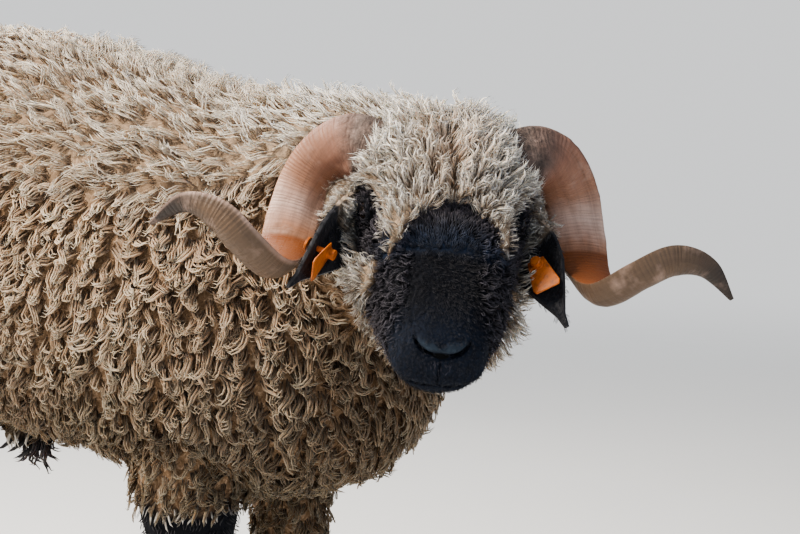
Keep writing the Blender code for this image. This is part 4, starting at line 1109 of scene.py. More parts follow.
def coatTree():
    tree = bpy.data.node_groups.new("coat", "GeometryNodeTree")
    sockets = {}
    for name, kind in (("Geometry", "NodeSocketGeometry"), ("Locks", "NodeSocketCollection"),
                       ("Region", "NodeSocketInt"), ("Spacing", "NodeSocketFloat"),
                       ("Length", "NodeSocketFloat"), ("Width", "NodeSocketFloat"),
                       ("Unevenness", "NodeSocketFloat"), ("Stray", "NodeSocketFloat"),
                       ("Staple", "NodeSocketFloat"), ("Gather", "NodeSocketFloat"),
                       ("Variants", "NodeSocketInt"), ("Seed", "NodeSocketInt"),
                       ("Finish", "NodeSocketMaterial")):
        sockets[name] = tree.interface.new_socket(name=name, in_out="INPUT", socket_type=kind).identifier
    tree.interface.new_socket(name="Geometry", in_out="OUTPUT", socket_type="NodeSocketGeometry")
    make = NodeMaker(tree)
    given = make.node("NodeGroupInput")
    skinHere = make.node("GeometryNodeSeparateGeometry", {
        "Geometry": given.of("Geometry"),
        "Selection": make.node("FunctionNodeCompare", {
            "A": make.node("GeometryNodeInputNamedAttribute", {"Name": "region"}, data_type="INT"),
            "B": given.of("Region")}, data_type="INT", operation="EQUAL")}, domain="FACE")
    cover = make.node("GeometryNodeInputNamedAttribute", {"Name": "cover"}, data_type="FLOAT")
    density = 2.2 / (given.of("Spacing") * given.of("Spacing"))
    roots = make.node("GeometryNodeDistributePointsOnFaces", {
        "Mesh": skinHere, "Distance Min": given.of("Spacing"), "Density Max": density,
        "Density Factor": cover, "Seed": given.of("Seed")}, distribute_method="POISSON")
    staples = make.node("GeometryNodeDistributePointsOnFaces", {
        "Mesh": skinHere, "Distance Min": given.of("Staple"),
        "Density Max": 2.2 / (given.of("Staple") * given.of("Staple")),
        "Density Factor": 1.0, "Seed": given.of("Seed") + 17}, distribute_method="POISSON")
    here = make.node("GeometryNodeInputPosition")
    nearest = make.node("GeometryNodeSampleNearest", {"Geometry": staples, "Sample Position": here},
                        domain="POINT")
    centre = make.node("GeometryNodeSampleIndex", {
        "Geometry": staples, "Value": here, "Index": nearest}, data_type="FLOAT_VECTOR", domain="POINT")
    pull = make.node("ShaderNodeVectorMath", {0: centre, 1: here}, operation="SUBTRACT")
    pull = make.node("ShaderNodeVectorMath", {0: pull, "Scale": given.of("Gather") / given.of("Staple")},
                     operation="SCALE")
    lie = make.node("GeometryNodeInputNamedAttribute", {"Name": "lie"}, data_type="FLOAT_VECTOR")
    lie = make.node("ShaderNodeVectorMath", {0: lie, 1: pull}, operation="ADD")

    def chance(low, high, seed):
        return make.node("FunctionNodeRandomValue", {"Min": low, "Max": high,
                                                     "Seed": given.of("Seed") + seed}, data_type="FLOAT")

    stray = given.of("Stray")
    upright = make.node("FunctionNodeAlignRotationToVector", {"Vector": roots.of("Normal")}, axis="Z")
    laid = make.node("FunctionNodeAlignRotationToVector", {"Rotation": upright, "Vector": lie},
                     axis="Y", pivot_axis="Z")
    tilt = make.node("ShaderNodeCombineXYZ", {"X": chance(-0.35, 0.35, 3) * stray,
                                              "Y": chance(-0.5, 0.5, 5) * stray,
                                              "Z": chance(-0.9, 0.9, 7) * stray})
    laid = make.node("FunctionNodeRotateRotation", {
        "Rotation": laid, "Rotate By": make.node("FunctionNodeEulerToRotation", {"Euler": tilt})},
        rotation_space="LOCAL")
    long = make.node("GeometryNodeInputNamedAttribute", {"Name": "coatLength"}, data_type="FLOAT")
    uneven = 1 + chance(-1.0, 1.0, 11) * given.of("Unevenness")
    long = long * given.of("Length") * uneven
    wide = given.of("Width") * long
    size = make.node("ShaderNodeCombineXYZ", {"X": wide, "Y": long, "Z": long})
    toned = make.node("GeometryNodeStoreNamedAttribute", {
        "Geometry": roots.of("Points"), "Name": "tone",
        "Value": chance(0.0, 0.45, 13) + make.node("FunctionNodeRandomValue", {
            "Min": 0.0, "Max": 0.55, "ID": nearest, "Seed": given.of("Seed") + 29}, data_type="FLOAT")},
        data_type="FLOAT", domain="POINT")
    locks = make.node("GeometryNodeCollectionInfo", {"Collection": given.of("Locks"),
                                                     "Separate Children": True, "Reset Children": True})
    pick = make.node("FunctionNodeRandomValue", {"Min": 0, "Max": given.of("Variants") - 1,
                                                 "Seed": given.of("Seed") + 19}, data_type="INT")
    placed = make.node("GeometryNodeInstanceOnPoints", {
        "Points": toned, "Instance": locks, "Pick Instance": True, "Instance Index": pick,
        "Rotation": laid, "Scale": size})
    real = make.node("GeometryNodeRealizeInstances", {"Geometry": placed})
    root = make.node("GeometryNodeInputNamedAttribute", {"Name": "skinMap"}, data_type="FLOAT_VECTOR")
    own = make.node("GeometryNodeInputNamedAttribute", {"Name": "lockMap"}, data_type="FLOAT_VECTOR")
    own = make.node("ShaderNodeVectorMath", {0: own, "Scale": 0.003}, operation="SCALE")
    patch = make.node("ShaderNodeVectorMath", {0: root, 1: own}, operation="ADD")
    mapped = make.node("GeometryNodeStoreNamedAttribute", {"Geometry": real, "Name": "OFBake", "Value": patch},
                       data_type="FLOAT2", domain="CORNER")
    for spare in ("skinMap", "lockMap", "lie", "coatLength", "cover", "region"):
        mapped = make.node("GeometryNodeRemoveAttribute", {"Geometry": mapped, "Name": spare})
    painted = make.node("GeometryNodeSetMaterial", {"Geometry": mapped, "Material": given.of("Finish")})
    shown = tree.nodes.new("NodeGroupOutput")
    tree.links.new(painted.socket, shown.inputs["Geometry"])
    return tree, sockets


# spacing and staple in metres, length and width as shares of the region's own
coatRegions = {
    "rump": {"locks": "fleece", "spacing": 0.0124},
    "flankRight": {"locks": "fleece", "spacing": 0.0088},
    "flankLeft": {"locks": "fleece", "spacing": 0.0118},
    "shoulderRight": {"locks": "fleece", "spacing": 0.0082},
    "shoulderLeft": {"locks": "fleece", "spacing": 0.0112},
    "breast": {"locks": "breast", "spacing": 0.0082},
    "neck": {"locks": "fleece", "spacing": 0.0082},
    "withers": {"locks": "down", "spacing": 0.0096, "stray": 0.8, "staple": 0.018},
    "tail": {"locks": "fleece", "spacing": 0.0100},
    "poll": {"locks": "fluff", "spacing": 0.0038, "stray": 0.40, "staple": 0.013, "gather": 1.0},
    "jaw": {"locks": "fluff", "spacing": 0.0044, "stray": 0.50, "staple": 0.015, "gather": 1.0},
    "mask": {"locks": "hair", "spacing": 0.0022, "stray": 0.6, "staple": 0.008, "gather": 0.4},
    "cheek": {"locks": "curl", "spacing": 0.0034, "stray": 1.2, "staple": 0.009, "gather": 0.6},
    "legs": {"locks": "fleece", "spacing": 0.0083, "staple": 0.020},
    "shins": {"locks": "hair", "spacing": 0.0084, "width": 2.4, "staple": 0.014},
    "short": {"locks": "hair", "spacing": 0.0098, "width": 2.3, "staple": 0.012},
    "whiskers": {"locks": "bristle", "spacing": 0.0036, "stray": 1.1, "staple": 0.010, "gather": 0.2},
    "ear": {"locks": "hair", "spacing": 0.0044, "stray": 0.6, "staple": 0.010, "gather": 0.4},
    "earWool": {"locks": "fluff", "spacing": 0.0031, "stray": 0.8, "staple": 0.010, "gather": 0.4},
}
coatDefaults = {"length": 1.0, "width": 1.0, "unevenness": 0.22, "stray": 0.50, "staple": 0.024, "gather": 0.75}


def growOn(bearer, name, number, region, tools):
    # sets the locks of one region on the skin or on an ear
    tree, sockets, sets, finishes = tools
    wish = {**coatDefaults, **coatRegions[region]}
    finish = finishes["black" if region in ("mask", "cheek", "short", "whiskers", "ear") else "wool"]
    piece = bpy.data.objects.new(name, bearer.data.copy())
    bench.objects.link(piece)
    grow = piece.modifiers.new("coat", "NODES")
    grow.node_group = tree
    for word, value in (("Locks", sets[wish["locks"]]), ("Region", number), ("Spacing", wish["spacing"]),
                        ("Length", wish["length"]), ("Width", wish["width"]),
                        ("Unevenness", wish["unevenness"]), ("Stray", wish["stray"]),
                        ("Staple", wish["staple"]), ("Gather", wish["gather"]),
                        ("Variants", lockStyles[wish["locks"]]["variants"]), ("Seed", 40 + number),
                        ("Finish", finish)):
        grow[sockets[word]] = value
    applied(piece)
    bench.objects.unlink(piece)
    ram.objects.link(piece)
    dress(piece, finish, "wool" if finish is finishes["wool"] else "black_hair")
    triangles = sum(len(face.vertices) - 2 for face in piece.data.polygons)
    print("coat", name, triangles, "triangles")
    return triangles


def growCoat(skin, ears, finishes):
    tools = (*coatTree(), {name: lockSet(name) for name in lockStyles}, finishes)
    total = sum(growOn(skin, "coat_" + name, number, name, tools) for number, name in enumerate(regionNames))
    for word, ear in ears.items():
        total += growOn(ear, "coat_ear_" + word, 0, "ear", tools)
        total += growOn(ear, "coat_earWool_" + word, 1, "earWool", tools)
    print("coat in all:", total, "triangles")


def markEar(ear, word):
    # what the coat's tree reads, on an ear
    data = ear.data
    points, out = coordinates(data), normals(data)
    sheet = EarSheet(word)
    t = (points - np.array(sheet.root)) @ np.array(sheet.heading) / sheet.length
    lie = np.array(sheet.heading)[None, :] - out * (out @ np.array(sheet.heading))[:, None]
    woolly = earShape["woolUpTo"][word]
    cream = step(-t, -woolly - 0.03, -woolly + 0.03)
    writeAttribute(data, "black", 1 - cream)
    writeAttribute(data, "paleAndHighlight", cream)
    writeAttribute(data, "coatLength", coatLengths["ear"] * (1.5 - 0.7 * np.clip(t, 0, 1)) + 0.006 * cream)
    writeAttribute(data, "cover", step(t, -0.02, 0.06))
    writeAttribute(data, "lie", lie, "FLOAT_VECTOR")
    # painted blue sheen on the ear's hair
    writeAttribute(data, "blueSheen", np.full(len(points), 0.25))
    corners = np.zeros(len(data.loops), np.int32)
    data.loops.foreach_get("vertex_index", corners)
    starts = np.zeros(len(data.polygons), np.int32)
    data.polygons.foreach_get("loop_start", starts)
    writeRegion(data, (cream > 0.5)[corners[starts]])
    unwrapSkin(ear)


# Finishes of the coat

woolTones = {
    # the deep brown at the locks' roots is painted shade inside the fleece
    "deep": (0.100, 0.052, 0.026), "mid": (0.42, 0.300, 0.205), "tip": (0.80, 0.66, 0.50),
    "white": (0.88, 0.83, 0.75), "ginger": (0.40, 0.205, 0.10), "black": (0.0045, 0.0045, 0.0065),
    # the blue is a painted sheen of sky light on black hair and bare black skin
    "blackTip": (0.026, 0.023, 0.030), "ash": (0.128, 0.112, 0.134), "blueSheen": (0.032, 0.057, 0.115),
    # the colour that darkens the lower wool, partly soil and partly painted shade
    "soilAndShade": (0.27, 0.275, 0.250),
    # the pad's bluish grey is a painted sky reflection on the moist nose
    # the slit's near black is painted shade in the nostrils
    "nose": (0.0040, 0.0055, 0.0100), "pad": (0.036, 0.052, 0.070), "slit": (0.0012, 0.0012, 0.0015),
}


def fibreStreaks(f, tip, hair, tone, fine):
    # fine fibres along a lock: nearly constant along it and quick across it
    across = f.node("ShaderNodeCombineXYZ", {"X": f.reading("fibre") * fine, "Y": tip * 2.2 + hair * 9.0,
                                             "Z": tone * 31.0})
    return f.cloud(across, 1.0, 2.0, 0.6)


def woolFinish():
    f = Finish("wool", Roughness=0.88, Sheen_Weight=0.22, Sheen_Roughness=0.5, Sheen_Tint=(1.0, 0.93, 0.84, 1.0),
               Specular_IOR_Level=0.15, Subsurface_Weight=0.30, Subsurface_Radius=(0.010, 0.0065, 0.004),
               Subsurface_Scale=0.4)
    tip, tone, hair, black = f.reading("tip"), f.reading("tone"), f.reading("hair"), f.reading("black")
    streak = fibreStreaks(f, tip, hair, tone, 3.0)
    broad = f.cloud(f.place(), 6.0, 3.0, 0.6)
    # darker towards the roots: painted shade deep in the fleece, mixed with the locks' own random tones
    rootShadeAndTone = tip * 0.62 + tone * 0.34 + (hair - 0.5) * 0.16 + (streak - 0.5) * 0.75 + (broad - 0.5) * 0.45
    cream = f.ramp(rootShadeAndTone, [(0.04, woolTones["deep"]), (0.50, woolTones["mid"]), (0.98, woolTones["tip"])])
    # whiter wool where marked pale: own colour on shins, poll and ears, painted highlight on the upward tops
    paleAndHighlight = f.reading("paleAndHighlight") * (0.25 + tip * 0.75 + (streak - 0.5) * 0.6)
    cream = f.mix(paleAndHighlight.clamped(), cream, woolTones["white"])
    ginger = f.reading("ginger") * (0.25 + tone * 0.9) * (1 - tip * 0.55)
    cream = f.mix(ginger.clamped(), cream, woolTones["ginger"])
    # the lower wool darkened, partly by soil and partly by painted shade
    soiledAndShaded = f.mix(1.0, cream, woolTones["soilAndShade"], "MULTIPLY")
    cream = f.mix((f.reading("soilAndShade") * (0.95 + (broad - 0.5) * 1.2)).clamped(), cream, soiledAndShaded)
    f.set("Base Color", f.mix(black, cream, f.mix(tip * hair, woolTones["black"], woolTones["ash"])))
    crimp = f.node("ShaderNodeTexWave", {
        "Vector": f.node("ShaderNodeCombineXYZ", {"X": tip * 1.9 + hair * 0.6, "Y": f.reading("fibre") * 0.2,
                                                  "Z": tone * 5.0}),
        "Scale": 1.0, "Distortion": 1.6, "Detail": 1.0}, out=1, bands_direction="X")
    f.bump(streak * 1.0 + crimp * 0.35, 0.75, 0.0016)
    return f.material


def blackFinish():
    f = Finish("blackHair", Roughness=0.55, Sheen_Weight=0.05, Sheen_Roughness=0.5, Specular_IOR_Level=0.30)
    tip, tone, hair, black = f.reading("tip"), f.reading("tone"), f.reading("hair"), f.reading("black")
    streak = fibreStreaks(f, tip, hair, tone, 4.0)
    dark = f.mix((tip * (0.25 + tone * 0.5 + hair * 0.4)).clamped(), woolTones["black"], woolTones["blackTip"])
    dark = f.mix((f.reading("ash") * (0.12 + tip * 0.88) * (0.3 + hair * 0.75)).clamped(), dark, woolTones["ash"])
    # painted blue sheen on the black hair's tips
    dark = f.mix((f.reading("blueSheen") * tip * (0.3 + tone * 0.7)).clamped(), dark, woolTones["blueSheen"])
    cream = f.ramp(tip * 0.6 + hair * 0.3, [(0.0, woolTones["mid"]), (0.6, woolTones["white"])])
    f.set("Base Color", f.mix(black, cream, dark))
    f.bump(streak, 0.5, 0.0006)
    return f.material


def skinFinish():
    f = Finish("skin", Specular_IOR_Level=0.16)
    where = f.place()
    patchy = f.cloud(where, 150.0, 4.0, 0.65, 1.2)
    # under the locks the skin is painted dark brown as shade in the depth of the fleece, lighter where the wool is
    # marked pale
    under = f.ramp(patchy, [(0.30, (0.070, 0.040, 0.022)), (0.52, (0.190, 0.120, 0.070)), (0.72, woolTones["mid"])])
    under = f.mix((f.reading("paleAndHighlight") * 0.45).clamped(), under, (0.46, 0.37, 0.28))
    dark = f.ramp(f.cloud(where, 380.0, 3.0), [(0.3, woolTones["black"]), (0.8, woolTones["nose"])])
    # painted blue sheen on the bare black skin of the muzzle
    dark = f.mix((f.reading("blueSheen") * (patchy * 0.9 - 0.15)).clamped(), dark, woolTones["blueSheen"])
    # painted sky reflection: the pad above the nostrils is lighter and bluer than the black nose
    pad = f.reading("pad") * (0.55 + (f.cloud(where, 300.0, 3.0) - 0.5) * 1.2)
    dark = f.mix(pad.clamped(), dark, woolTones["pad"])
    # painted shade in the nostril slits
    dark = f.mix(f.reading("slit").clamped(), dark, woolTones["slit"])
    f.set("Base Color", f.mix(f.reading("black"), under, dark))
    cells = f.node("ShaderNodeTexVoronoi", {"Vector": where, "Scale": 700.0}, feature="DISTANCE_TO_EDGE")
    f.set("Roughness", 0.82 - f.reading("pad") * 0.24)
    woolly = patchy * (1 - f.reading("black")) * 6.0
    f.bump(woolly + f.cloud(where, 900.0, 3.0, 0.65) * 0.8 + cells * f.reading("pad") * 1.4, 0.5, 0.0008)
    return f.material


# Camera, floor and light

camera = {
    "place": (-1.6650, -1.6096, 0.8267),
    "turn": -50.0,
    "down": 5.832,
    "lens": 100.0,
    "film": 36.0,
}


def makeCamera():
    data = bpy.data.cameras.new("camera")
    data.lens = camera["lens"]
    data.sensor_width = camera["film"]
    data.sensor_fit = "HORIZONTAL"
    data.clip_end = 60
    made = bpy.data.objects.new("camera", data)
    bpy.context.scene.collection.objects.link(made)
    made.location = Vector(camera["place"]) + shift
    made.rotation_euler = (math.radians(90 - camera["down"]), 0, math.radians(camera["turn"]))
    bpy.context.scene.camera = made


studio = {
    "floor": 6.0,
    "floorColour": (0.74, 0.73, 0.71),
    "fadeFrom": 1.7, "fadeTo": 5.2,
    "sky": (0.74, 0.84, 1.0), "skyStrength": 0.36,
    "behind": (0.86, 0.87, 0.88), "behindStrength": 0.95,
    # place, aim, width, watts, colour
    "key": ((-2.05, 0.75, 2.95), (0.0, 0.0, 0.6), 1.1, 250.0, (1.0, 0.93, 0.83)),
    "top": ((0.4, 1.9, 2.9), (0.0, 0.1, 0.7), 1.4, 90.0, (1.0, 0.97, 0.92)),
    "fill": ((-0.9, -3.2, 1.7), (-0.1, -0.3, 0.5), 2.4, 34.0, (0.86, 0.93, 1.0)),
}


def makeStudio():
    points = [Vector((studio["floor"] * math.cos(math.pi * k / 32), studio["floor"] * math.sin(math.pi * k / 32), 0))
              for k in range(64)]
    floor = meshObject("floor", points, [tuple(range(64))], bpy.context.scene.collection, smooth=False)
    f = Finish("floor", Roughness=0.9)
    f.set("Base Color", f.ramp(f.cloud(f.place(), 1.2, 2.0), [
        (0.3, tuple(0.97 * c for c in studio["floorColour"])), (0.7, studio["floorColour"])]))
    reach = f.node("ShaderNodeVectorMath", {0: f.place()}, out="Value", operation="LENGTH")
    f.set("Alpha", f.node("ShaderNodeMapRange", {0: reach, 1: studio["fadeFrom"], 2: studio["fadeTo"], 3: 1.0,
                                                 4: 0.0}, out="Result", interpolation_type="SMOOTHSTEP"))
    floor.data.materials.append(f.material)
    world = bpy.data.worlds.new("studio")
    world.use_nodes = True
    lit = NodeMaker(world.node_tree)
    sky = lit.node("ShaderNodeBackground", {"Color": studio["sky"], "Strength": studio["skyStrength"]})
    wall = lit.node("ShaderNodeBackground", {"Color": studio["behind"], "Strength": studio["behindStrength"]})
    seen = lit.node("ShaderNodeLightPath", out="Is Camera Ray")
    both = lit.node("ShaderNodeMixShader", {0: seen, 1: sky, 2: wall})
    world.node_tree.links.new(both.socket, world.node_tree.nodes["World Output"].inputs["Surface"])
    bpy.context.scene.world = world
    bpy.context.scene.view_settings.look = "AgX - Medium High Contrast"
    for name in ("key", "top", "fill"):
        place, aim, width, power, colour = studio[name]
        light = bpy.data.lights.new(name, "AREA")
        light.shape = "DISK"
        light.size = width
        light.energy = power
        light.color = colour
        made = bpy.data.objects.new(name, light)
        bpy.context.scene.collection.objects.link(made)
        made.location = place
        made.rotation_euler = (Vector(aim) - Vector(place)).to_track_quat("-Z", "Y").to_euler()


def makeHorn(word, finish):
    rows = spread(hornShape[word], hornShape["rings"])
    places = [onHead(*row[:3]) for row in rows]
    sides, count = hornShape["sides"], len(rows)
    draw = random.Random(3 if word == "left" else 8)
    steps = sorted(draw.uniform(0, 1) for _ in range(hornShape["growthRings"]))
    rings, maps = [], []
    for i, row in enumerate(rows):
        t = i / (count - 1)
        heading = (places[min(i + 1, count - 1)] - places[max(i - 1, 0)]).normalized()
        look = headTurn @ Vector((row[5], -row[6], row[7]))
        look = (look - heading * look.dot(heading)).normalized()
        across = heading.cross(look)
        near = min(abs(t - s) for s in steps)
        ripple = 1.3 * math.exp(-(near / 0.006) ** 2) - 0.6 + 0.5 * noise.noise(Vector((t * 90, draw.random() * 0.2, 0)))
        swell = hornShape["ringHeight"] * ripple * (1 - t) ** 0.7
        ring = []
        for k in range(sides):
            turn = 2 * math.pi * (k + 0.5) / sides
            c, s = math.cos(turn), math.sin(turn)
            late = max(0.0, min(1.0, (t - 0.40) / 0.12))
            keel = 1 + hornShape["keel"] * (max(0, math.cos(turn + math.pi / 2)) ** 6
                                            - 0.35 * max(0, math.cos(turn + math.pi / 2 - 0.8)) ** 4)
            rise = math.copysign(abs(s) ** (1.0 + 0.55 * late), s) * ((0.75 - 0.45 * late) if s > 0 else 1.10)
            slim = 0.18 * math.exp(-((t - 0.60) / 0.09) ** 2)
            wide, thick = row[3] / 2 * (1.06 + 0.10 * late - slim) + swell, row[4] / 2 + swell
            gutter = hornShape["gutter"] * math.exp(-((turn - 2.2) / 0.32) ** 2) * (1 - late) * min(1, t / 0.2)
            ring.append(places[i] + (across * wide * c + look * thick * (rise - gutter * 1.5)) * keel)
            maps.append((k / sides, t, 0.0))
        rings.append(ring)
    horn = loft("horn_" + word + "_fine", rings)
    maps += [(0.5, 0.0, 0.0), (0.5, 1.0, 0.0)]
    writeAttribute(horn.data, "hornMap", np.array(maps), "FLOAT_VECTOR")
    return dress(horn, finish, "horn", "horn_" + word)


hornTones = {
    "scab": (0.150, 0.108, 0.090), "scabDark": (0.030, 0.023, 0.021), "pink": (0.27, 0.132, 0.088),
    # the orange is painted light shining through the horn at the inner face of the curl
    # the pale is painted highlight at the first limb's end and along the second limb's upper edge, and also gives
    # random pale flecks
    "paleAndHighlight": (0.54, 0.37, 0.30), "tan": (0.34, 0.170, 0.103), "litThroughOrange": (0.185, 0.056, 0.015),
    "grey": (0.120, 0.075, 0.046), "tip": (0.036, 0.026, 0.021), "dirt": (0.050, 0.031, 0.023),
}


def hornFinish():
    f = Finish("horn", Coat_Roughness=0.35, Specular_IOR_Level=0.40)
    spot = f.reading("hornMap", "Vector")
    apart = f.node("ShaderNodeSeparateXYZ", {"Vector": spot})
    along, round_ = apart.of("Y"), apart.of("X")
    where = f.place()

    def between(value, start, end):
        return f.node("ShaderNodeMapRange", {0: value, 1: start, 2: end}, out="Result", interpolation_type="SMOOTHSTEP")

    streak = f.cloud(f.stretched(spot, (16.0, 3.2, 1.0)), 1.0, 5.0, 0.65, 1.2)
    cloud = f.cloud(where, 48.0, 4.0, 0.6)
    wide = f.cloud(where, 17.0, 3.0, 0.6)
    # the pale stop near the first limb's end is a painted highlight
    zone = f.ramp(along + (wide - 0.5) * 0.16, [
        (0.0, hornTones["scab"]), (0.15, hornTones["scab"]), (0.23, hornTones["pink"]), (0.34, hornTones["tan"]),
        (0.43, hornTones["paleAndHighlight"]), (0.50, hornTones["tan"]), (0.58, hornTones["grey"]), (0.82, hornTones["grey"]),
        (0.93, hornTones["tip"])])
    base = f.mix((streak * 2.4 - 1.05).clamped(), zone, f.mix(0.65, zone, hornTones["dirt"]))
    base = f.mix((cloud * 3.0 - 1.65).clamped(), base, f.mix(0.6, zone, hornTones["paleAndHighlight"]))
    lines = f.cloud(f.stretched(spot, (3.5, 62.0, 1.0)), 1.0, 4.0, 0.65, 1.6)
    base = f.mix((lines * 2.4 - 1.15).clamped(), base, f.mix(0.20, base, hornTones["dirt"]))
    # painted light shining through: the inner face of the curl glows orange
    inner = between(round_, 0.02, 0.05) * between(round_, 0.49, 0.46)
    curl = between(along, 0.500, 0.515) * between(along, 0.80, 0.66)
    base = f.mix((inner * curl * (0.70 + cloud * 0.5)).clamped(), base, hornTones["litThroughOrange"])
    # painted highlight: a lighter band along the second limb's upper edge
    edge = between((round_ - 0.5) * (round_ - 0.5), 0.006, 0.0) * between(along, 0.50, 0.60)
    base = f.mix((edge * (0.3 + cloud)).clamped(), base, f.mix(0.5, base, hornTones["paleAndHighlight"]))
    scab = between(along + (cloud - 0.5) * 0.12, 0.23, 0.15)
    crust = f.cloud(where, 210.0, 5.0, 0.7)
    base = f.mix(scab * (crust * 2.4 - 0.85).clamped(), base, hornTones["scabDark"])
    f.set("Base Color", base)
    f.set("Roughness", (0.40 + streak * 0.22 + scab * 0.35).clamped())
    rings = f.node("ShaderNodeTexWave", {"Vector": f.stretched(spot, (0.5, 34.0, 1.0)), "Scale": 1.0,
                                         "Distortion": 7.0, "Detail": 3.0, "Detail Scale": 1.2},
                   out=1, bands_direction="Y")
    fibre = f.cloud(f.stretched(spot, (110.0, 9.0, 1.0)), 1.0, 4.0, 0.65)
    f.bump(rings * 0.25 + lines * 0.5 + fibre * 0.3 + cloud * 0.5 + scab * crust * 2.6, 0.8, 0.0016)
    return f.material


def makeEar(word, finish):
    sheet = EarSheet(word)
    rows, columns = earShape["rows"], earShape["columns"]
    points, faces = [], []
    for i in range(rows + 1):
        t = i / rows
        for k in range(columns + 1):
            v = 2 * k / columns - 1
            place, inward = sheet.at(t, v)
            fold = 0.0010 * math.sin(9 * v + 4 * t) * (1 - t)
            points.append(place + inward * fold)
    wide = columns + 1
    for i in range(rows):
        for k in range(columns):
            faces.append((i * wide + k, i * wide + k + 1, (i + 1) * wide + k + 1, (i + 1) * wide + k))
    ear = meshObject("ear_" + word + "_fine", points, faces)
    wall = ear.modifiers.new("wall", "SOLIDIFY")
    wall.thickness = earShape["thick"]
    wall.offset = 0
    wall.use_even_offset = True
    edge = ear.modifiers.new("edge", "BEVEL")
    edge.width = 0.0013
    edge.segments = 2
    edge.limit_method = "ANGLE"
    edge.angle_limit = math.radians(50)
    applied(ear)
    ear.data.shade_smooth()
    return dress(outwards(ear), finish, "black_hair", "ear_" + word)


def earFinish():
    f = Finish("earSkin", Roughness=0.62, Sheen_Weight=0.2, Sheen_Roughness=0.4, Specular_IOR_Level=0.35)
    where = f.place()
    hair = f.cloud(f.stretched(where, (420.0, 420.0, 90.0)), 1.0, 3.0)
    dark = f.ramp(hair, [(0.3, (0.005, 0.005, 0.007)), (0.8, (0.022, 0.021, 0.026))])
    f.set("Base Color", f.mix(f.reading("black"), (0.40, 0.31, 0.23), dark))
    f.bump(hair, 0.5, 0.0010)
    return f.material


# Ear tags
tagShape = {
    "long": 0.030, "wide": 0.027, "thick": 0.0018, "button": 0.0070, "pin": 0.0028, "hub": 0.0050,
    "hubHigh": 0.0085, "stands": 0.0090, "behind": 0.0075,
}


def makeTag(word, finish):
    sheet = EarSheet(word)
    middle, look = sheet.at(sheet.tagAlong, sheet.tagAcross)
    look = Matrix.Rotation(math.radians(sheet.tagTurn), 3, sheet.heading) @ look
    across = sheet.heading.cross(look)
    frameOf = Matrix((across, sheet.heading, look)).transposed().to_4x4()
    frameOf.translation = middle
    front = 0.002 + tagShape["stands"]
    outline = ((-0.30, -0.20), (0.30, -0.20), (0.50, 0.85), (0.42, 1.0), (-0.42, 1.0), (-0.50, 0.85))
    flat = [(w * tagShape["wide"], l * tagShape["long"]) for w, l in outline]
    count = len(flat)
    points = [(x, y, front) for x, y in flat] + [(x, y, front + tagShape["thick"]) for x, y in flat]
    faces = [tuple(range(count)), tuple(range(2 * count - 1, count - 1, -1))]
    faces += [(i, (i + 1) % count, count + (i + 1) % count, count + i) for i in range(count)]
    flag = outwards(meshObject("tag_" + word + "_fine", points, faces))
    corner = flag.modifiers.new("corners", "BEVEL")
    corner.width = 0.0022
    corner.segments = 4
    corner.limit_method = "ANGLE"
    corner.angle_limit = math.radians(30)
    applied(flag)
    form = bmesh.new()
    form.from_mesh(flag.data)
    for radius, start, end in ((tagShape["hub"] * 1.25, front + 0.0006, front + 0.0030),
                               (tagShape["hub"], front + 0.0025, front + tagShape["hubHigh"]),
                               (tagShape["pin"], -tagShape["behind"], front + 0.001),
                               (tagShape["button"], -tagShape["behind"] - 0.0025, -tagShape["behind"] + 0.0005)):
        rings = [(radius * 0.86, start), (radius, start + 0.0006), (radius, end - 0.0006), (radius * 0.86, end)]
        loops = [[form.verts.new((r * math.cos(2 * math.pi * k / 28), r * math.sin(2 * math.pi * k / 28), z))
                  for k in range(28)] for r, z in rings]
        for near, far in zip(loops, loops[1:]):
            for k in range(28):
                form.faces.new((near[k], near[(k + 1) % 28], far[(k + 1) % 28], far[k]))
        form.faces.new(loops[0][::-1])
        form.faces.new(loops[-1])
    bmesh.ops.recalc_face_normals(form, faces=form.faces)
    form.to_mesh(flag.data)
    form.free()
    flag.data.transform(frameOf)
    flag.data.shade_smooth()
    flag.data.set_sharp_from_angle(angle=math.radians(40))
    return dress(flag, finish, "ear_tag", "tag_" + word)


def tagFinish():
    f = Finish("tagPlastic", Coat_Roughness=0.3, Subsurface_Weight=0.1, Subsurface_Radius=(0.01, 0.004, 0.001))
    where = f.place()
    dirt = f.cloud(where, 260.0, 4.0, 0.6)
    f.set("Base Color", f.ramp(dirt, [(0.30, (0.20, 0.055, 0.008)), (0.52, (0.42, 0.105, 0.008)),
                                      (0.85, (0.54, 0.155, 0.012))]))
    f.set("Roughness", 0.38 + dirt * 0.3)
    f.bump(dirt, 0.12, 0.0004)
    return f.material


# Eyes: a ball that looks sideways, with a level slit pupil
eyeLook = {"iris": 0.0078, "pupilLong": 0.0052, "pupilHigh": 0.0020}


def makeEye(word, side):
    middle = onFace(side * eye["side"], eye["along"], eye["deep"])
    look = (onFace(side * 0.90, 0.28, 0.33) - onFace(0, 0, 0)).normalized()
    form = bmesh.new()
    bmesh.ops.create_uvsphere(form, u_segments=48, v_segments=32, radius=eye["radius"])
    turn = look.to_track_quat("Z", "Y").to_matrix().to_4x4()
    for corner in form.verts:
        bulge = 0.0009 * math.exp(-((math.hypot(corner.co.x, corner.co.y) / 0.008) ** 2)) if corner.co.z > 0 else 0
        corner.co.z += bulge
    bmesh.ops.transform(form, matrix=Matrix.Translation(middle) @ turn, verts=form.verts)
    data = bpy.data.meshes.new("eye_" + word + "_fine")
    form.to_mesh(data)
    form.free()
    data.shade_smooth()
    ball = bpy.data.objects.new("eye_" + word + "_fine", data)
    ram.objects.link(ball)
    spots = coordinates(data) - np.array(middle)
    level = np.array(onFace(0, 1, -0.25) - onFace(0, 0, 0))
    level -= np.array(look) * (level @ np.array(look))
    level /= np.linalg.norm(level)
    upright = np.cross(np.array(look), level)
    writeAttribute(data, "spot", np.stack([spots @ level, spots @ upright, spots @ np.array(look)], axis=1),
                   "FLOAT_VECTOR")
    return dress(ball, eyeFinish(word), "eye", "eye_" + word)


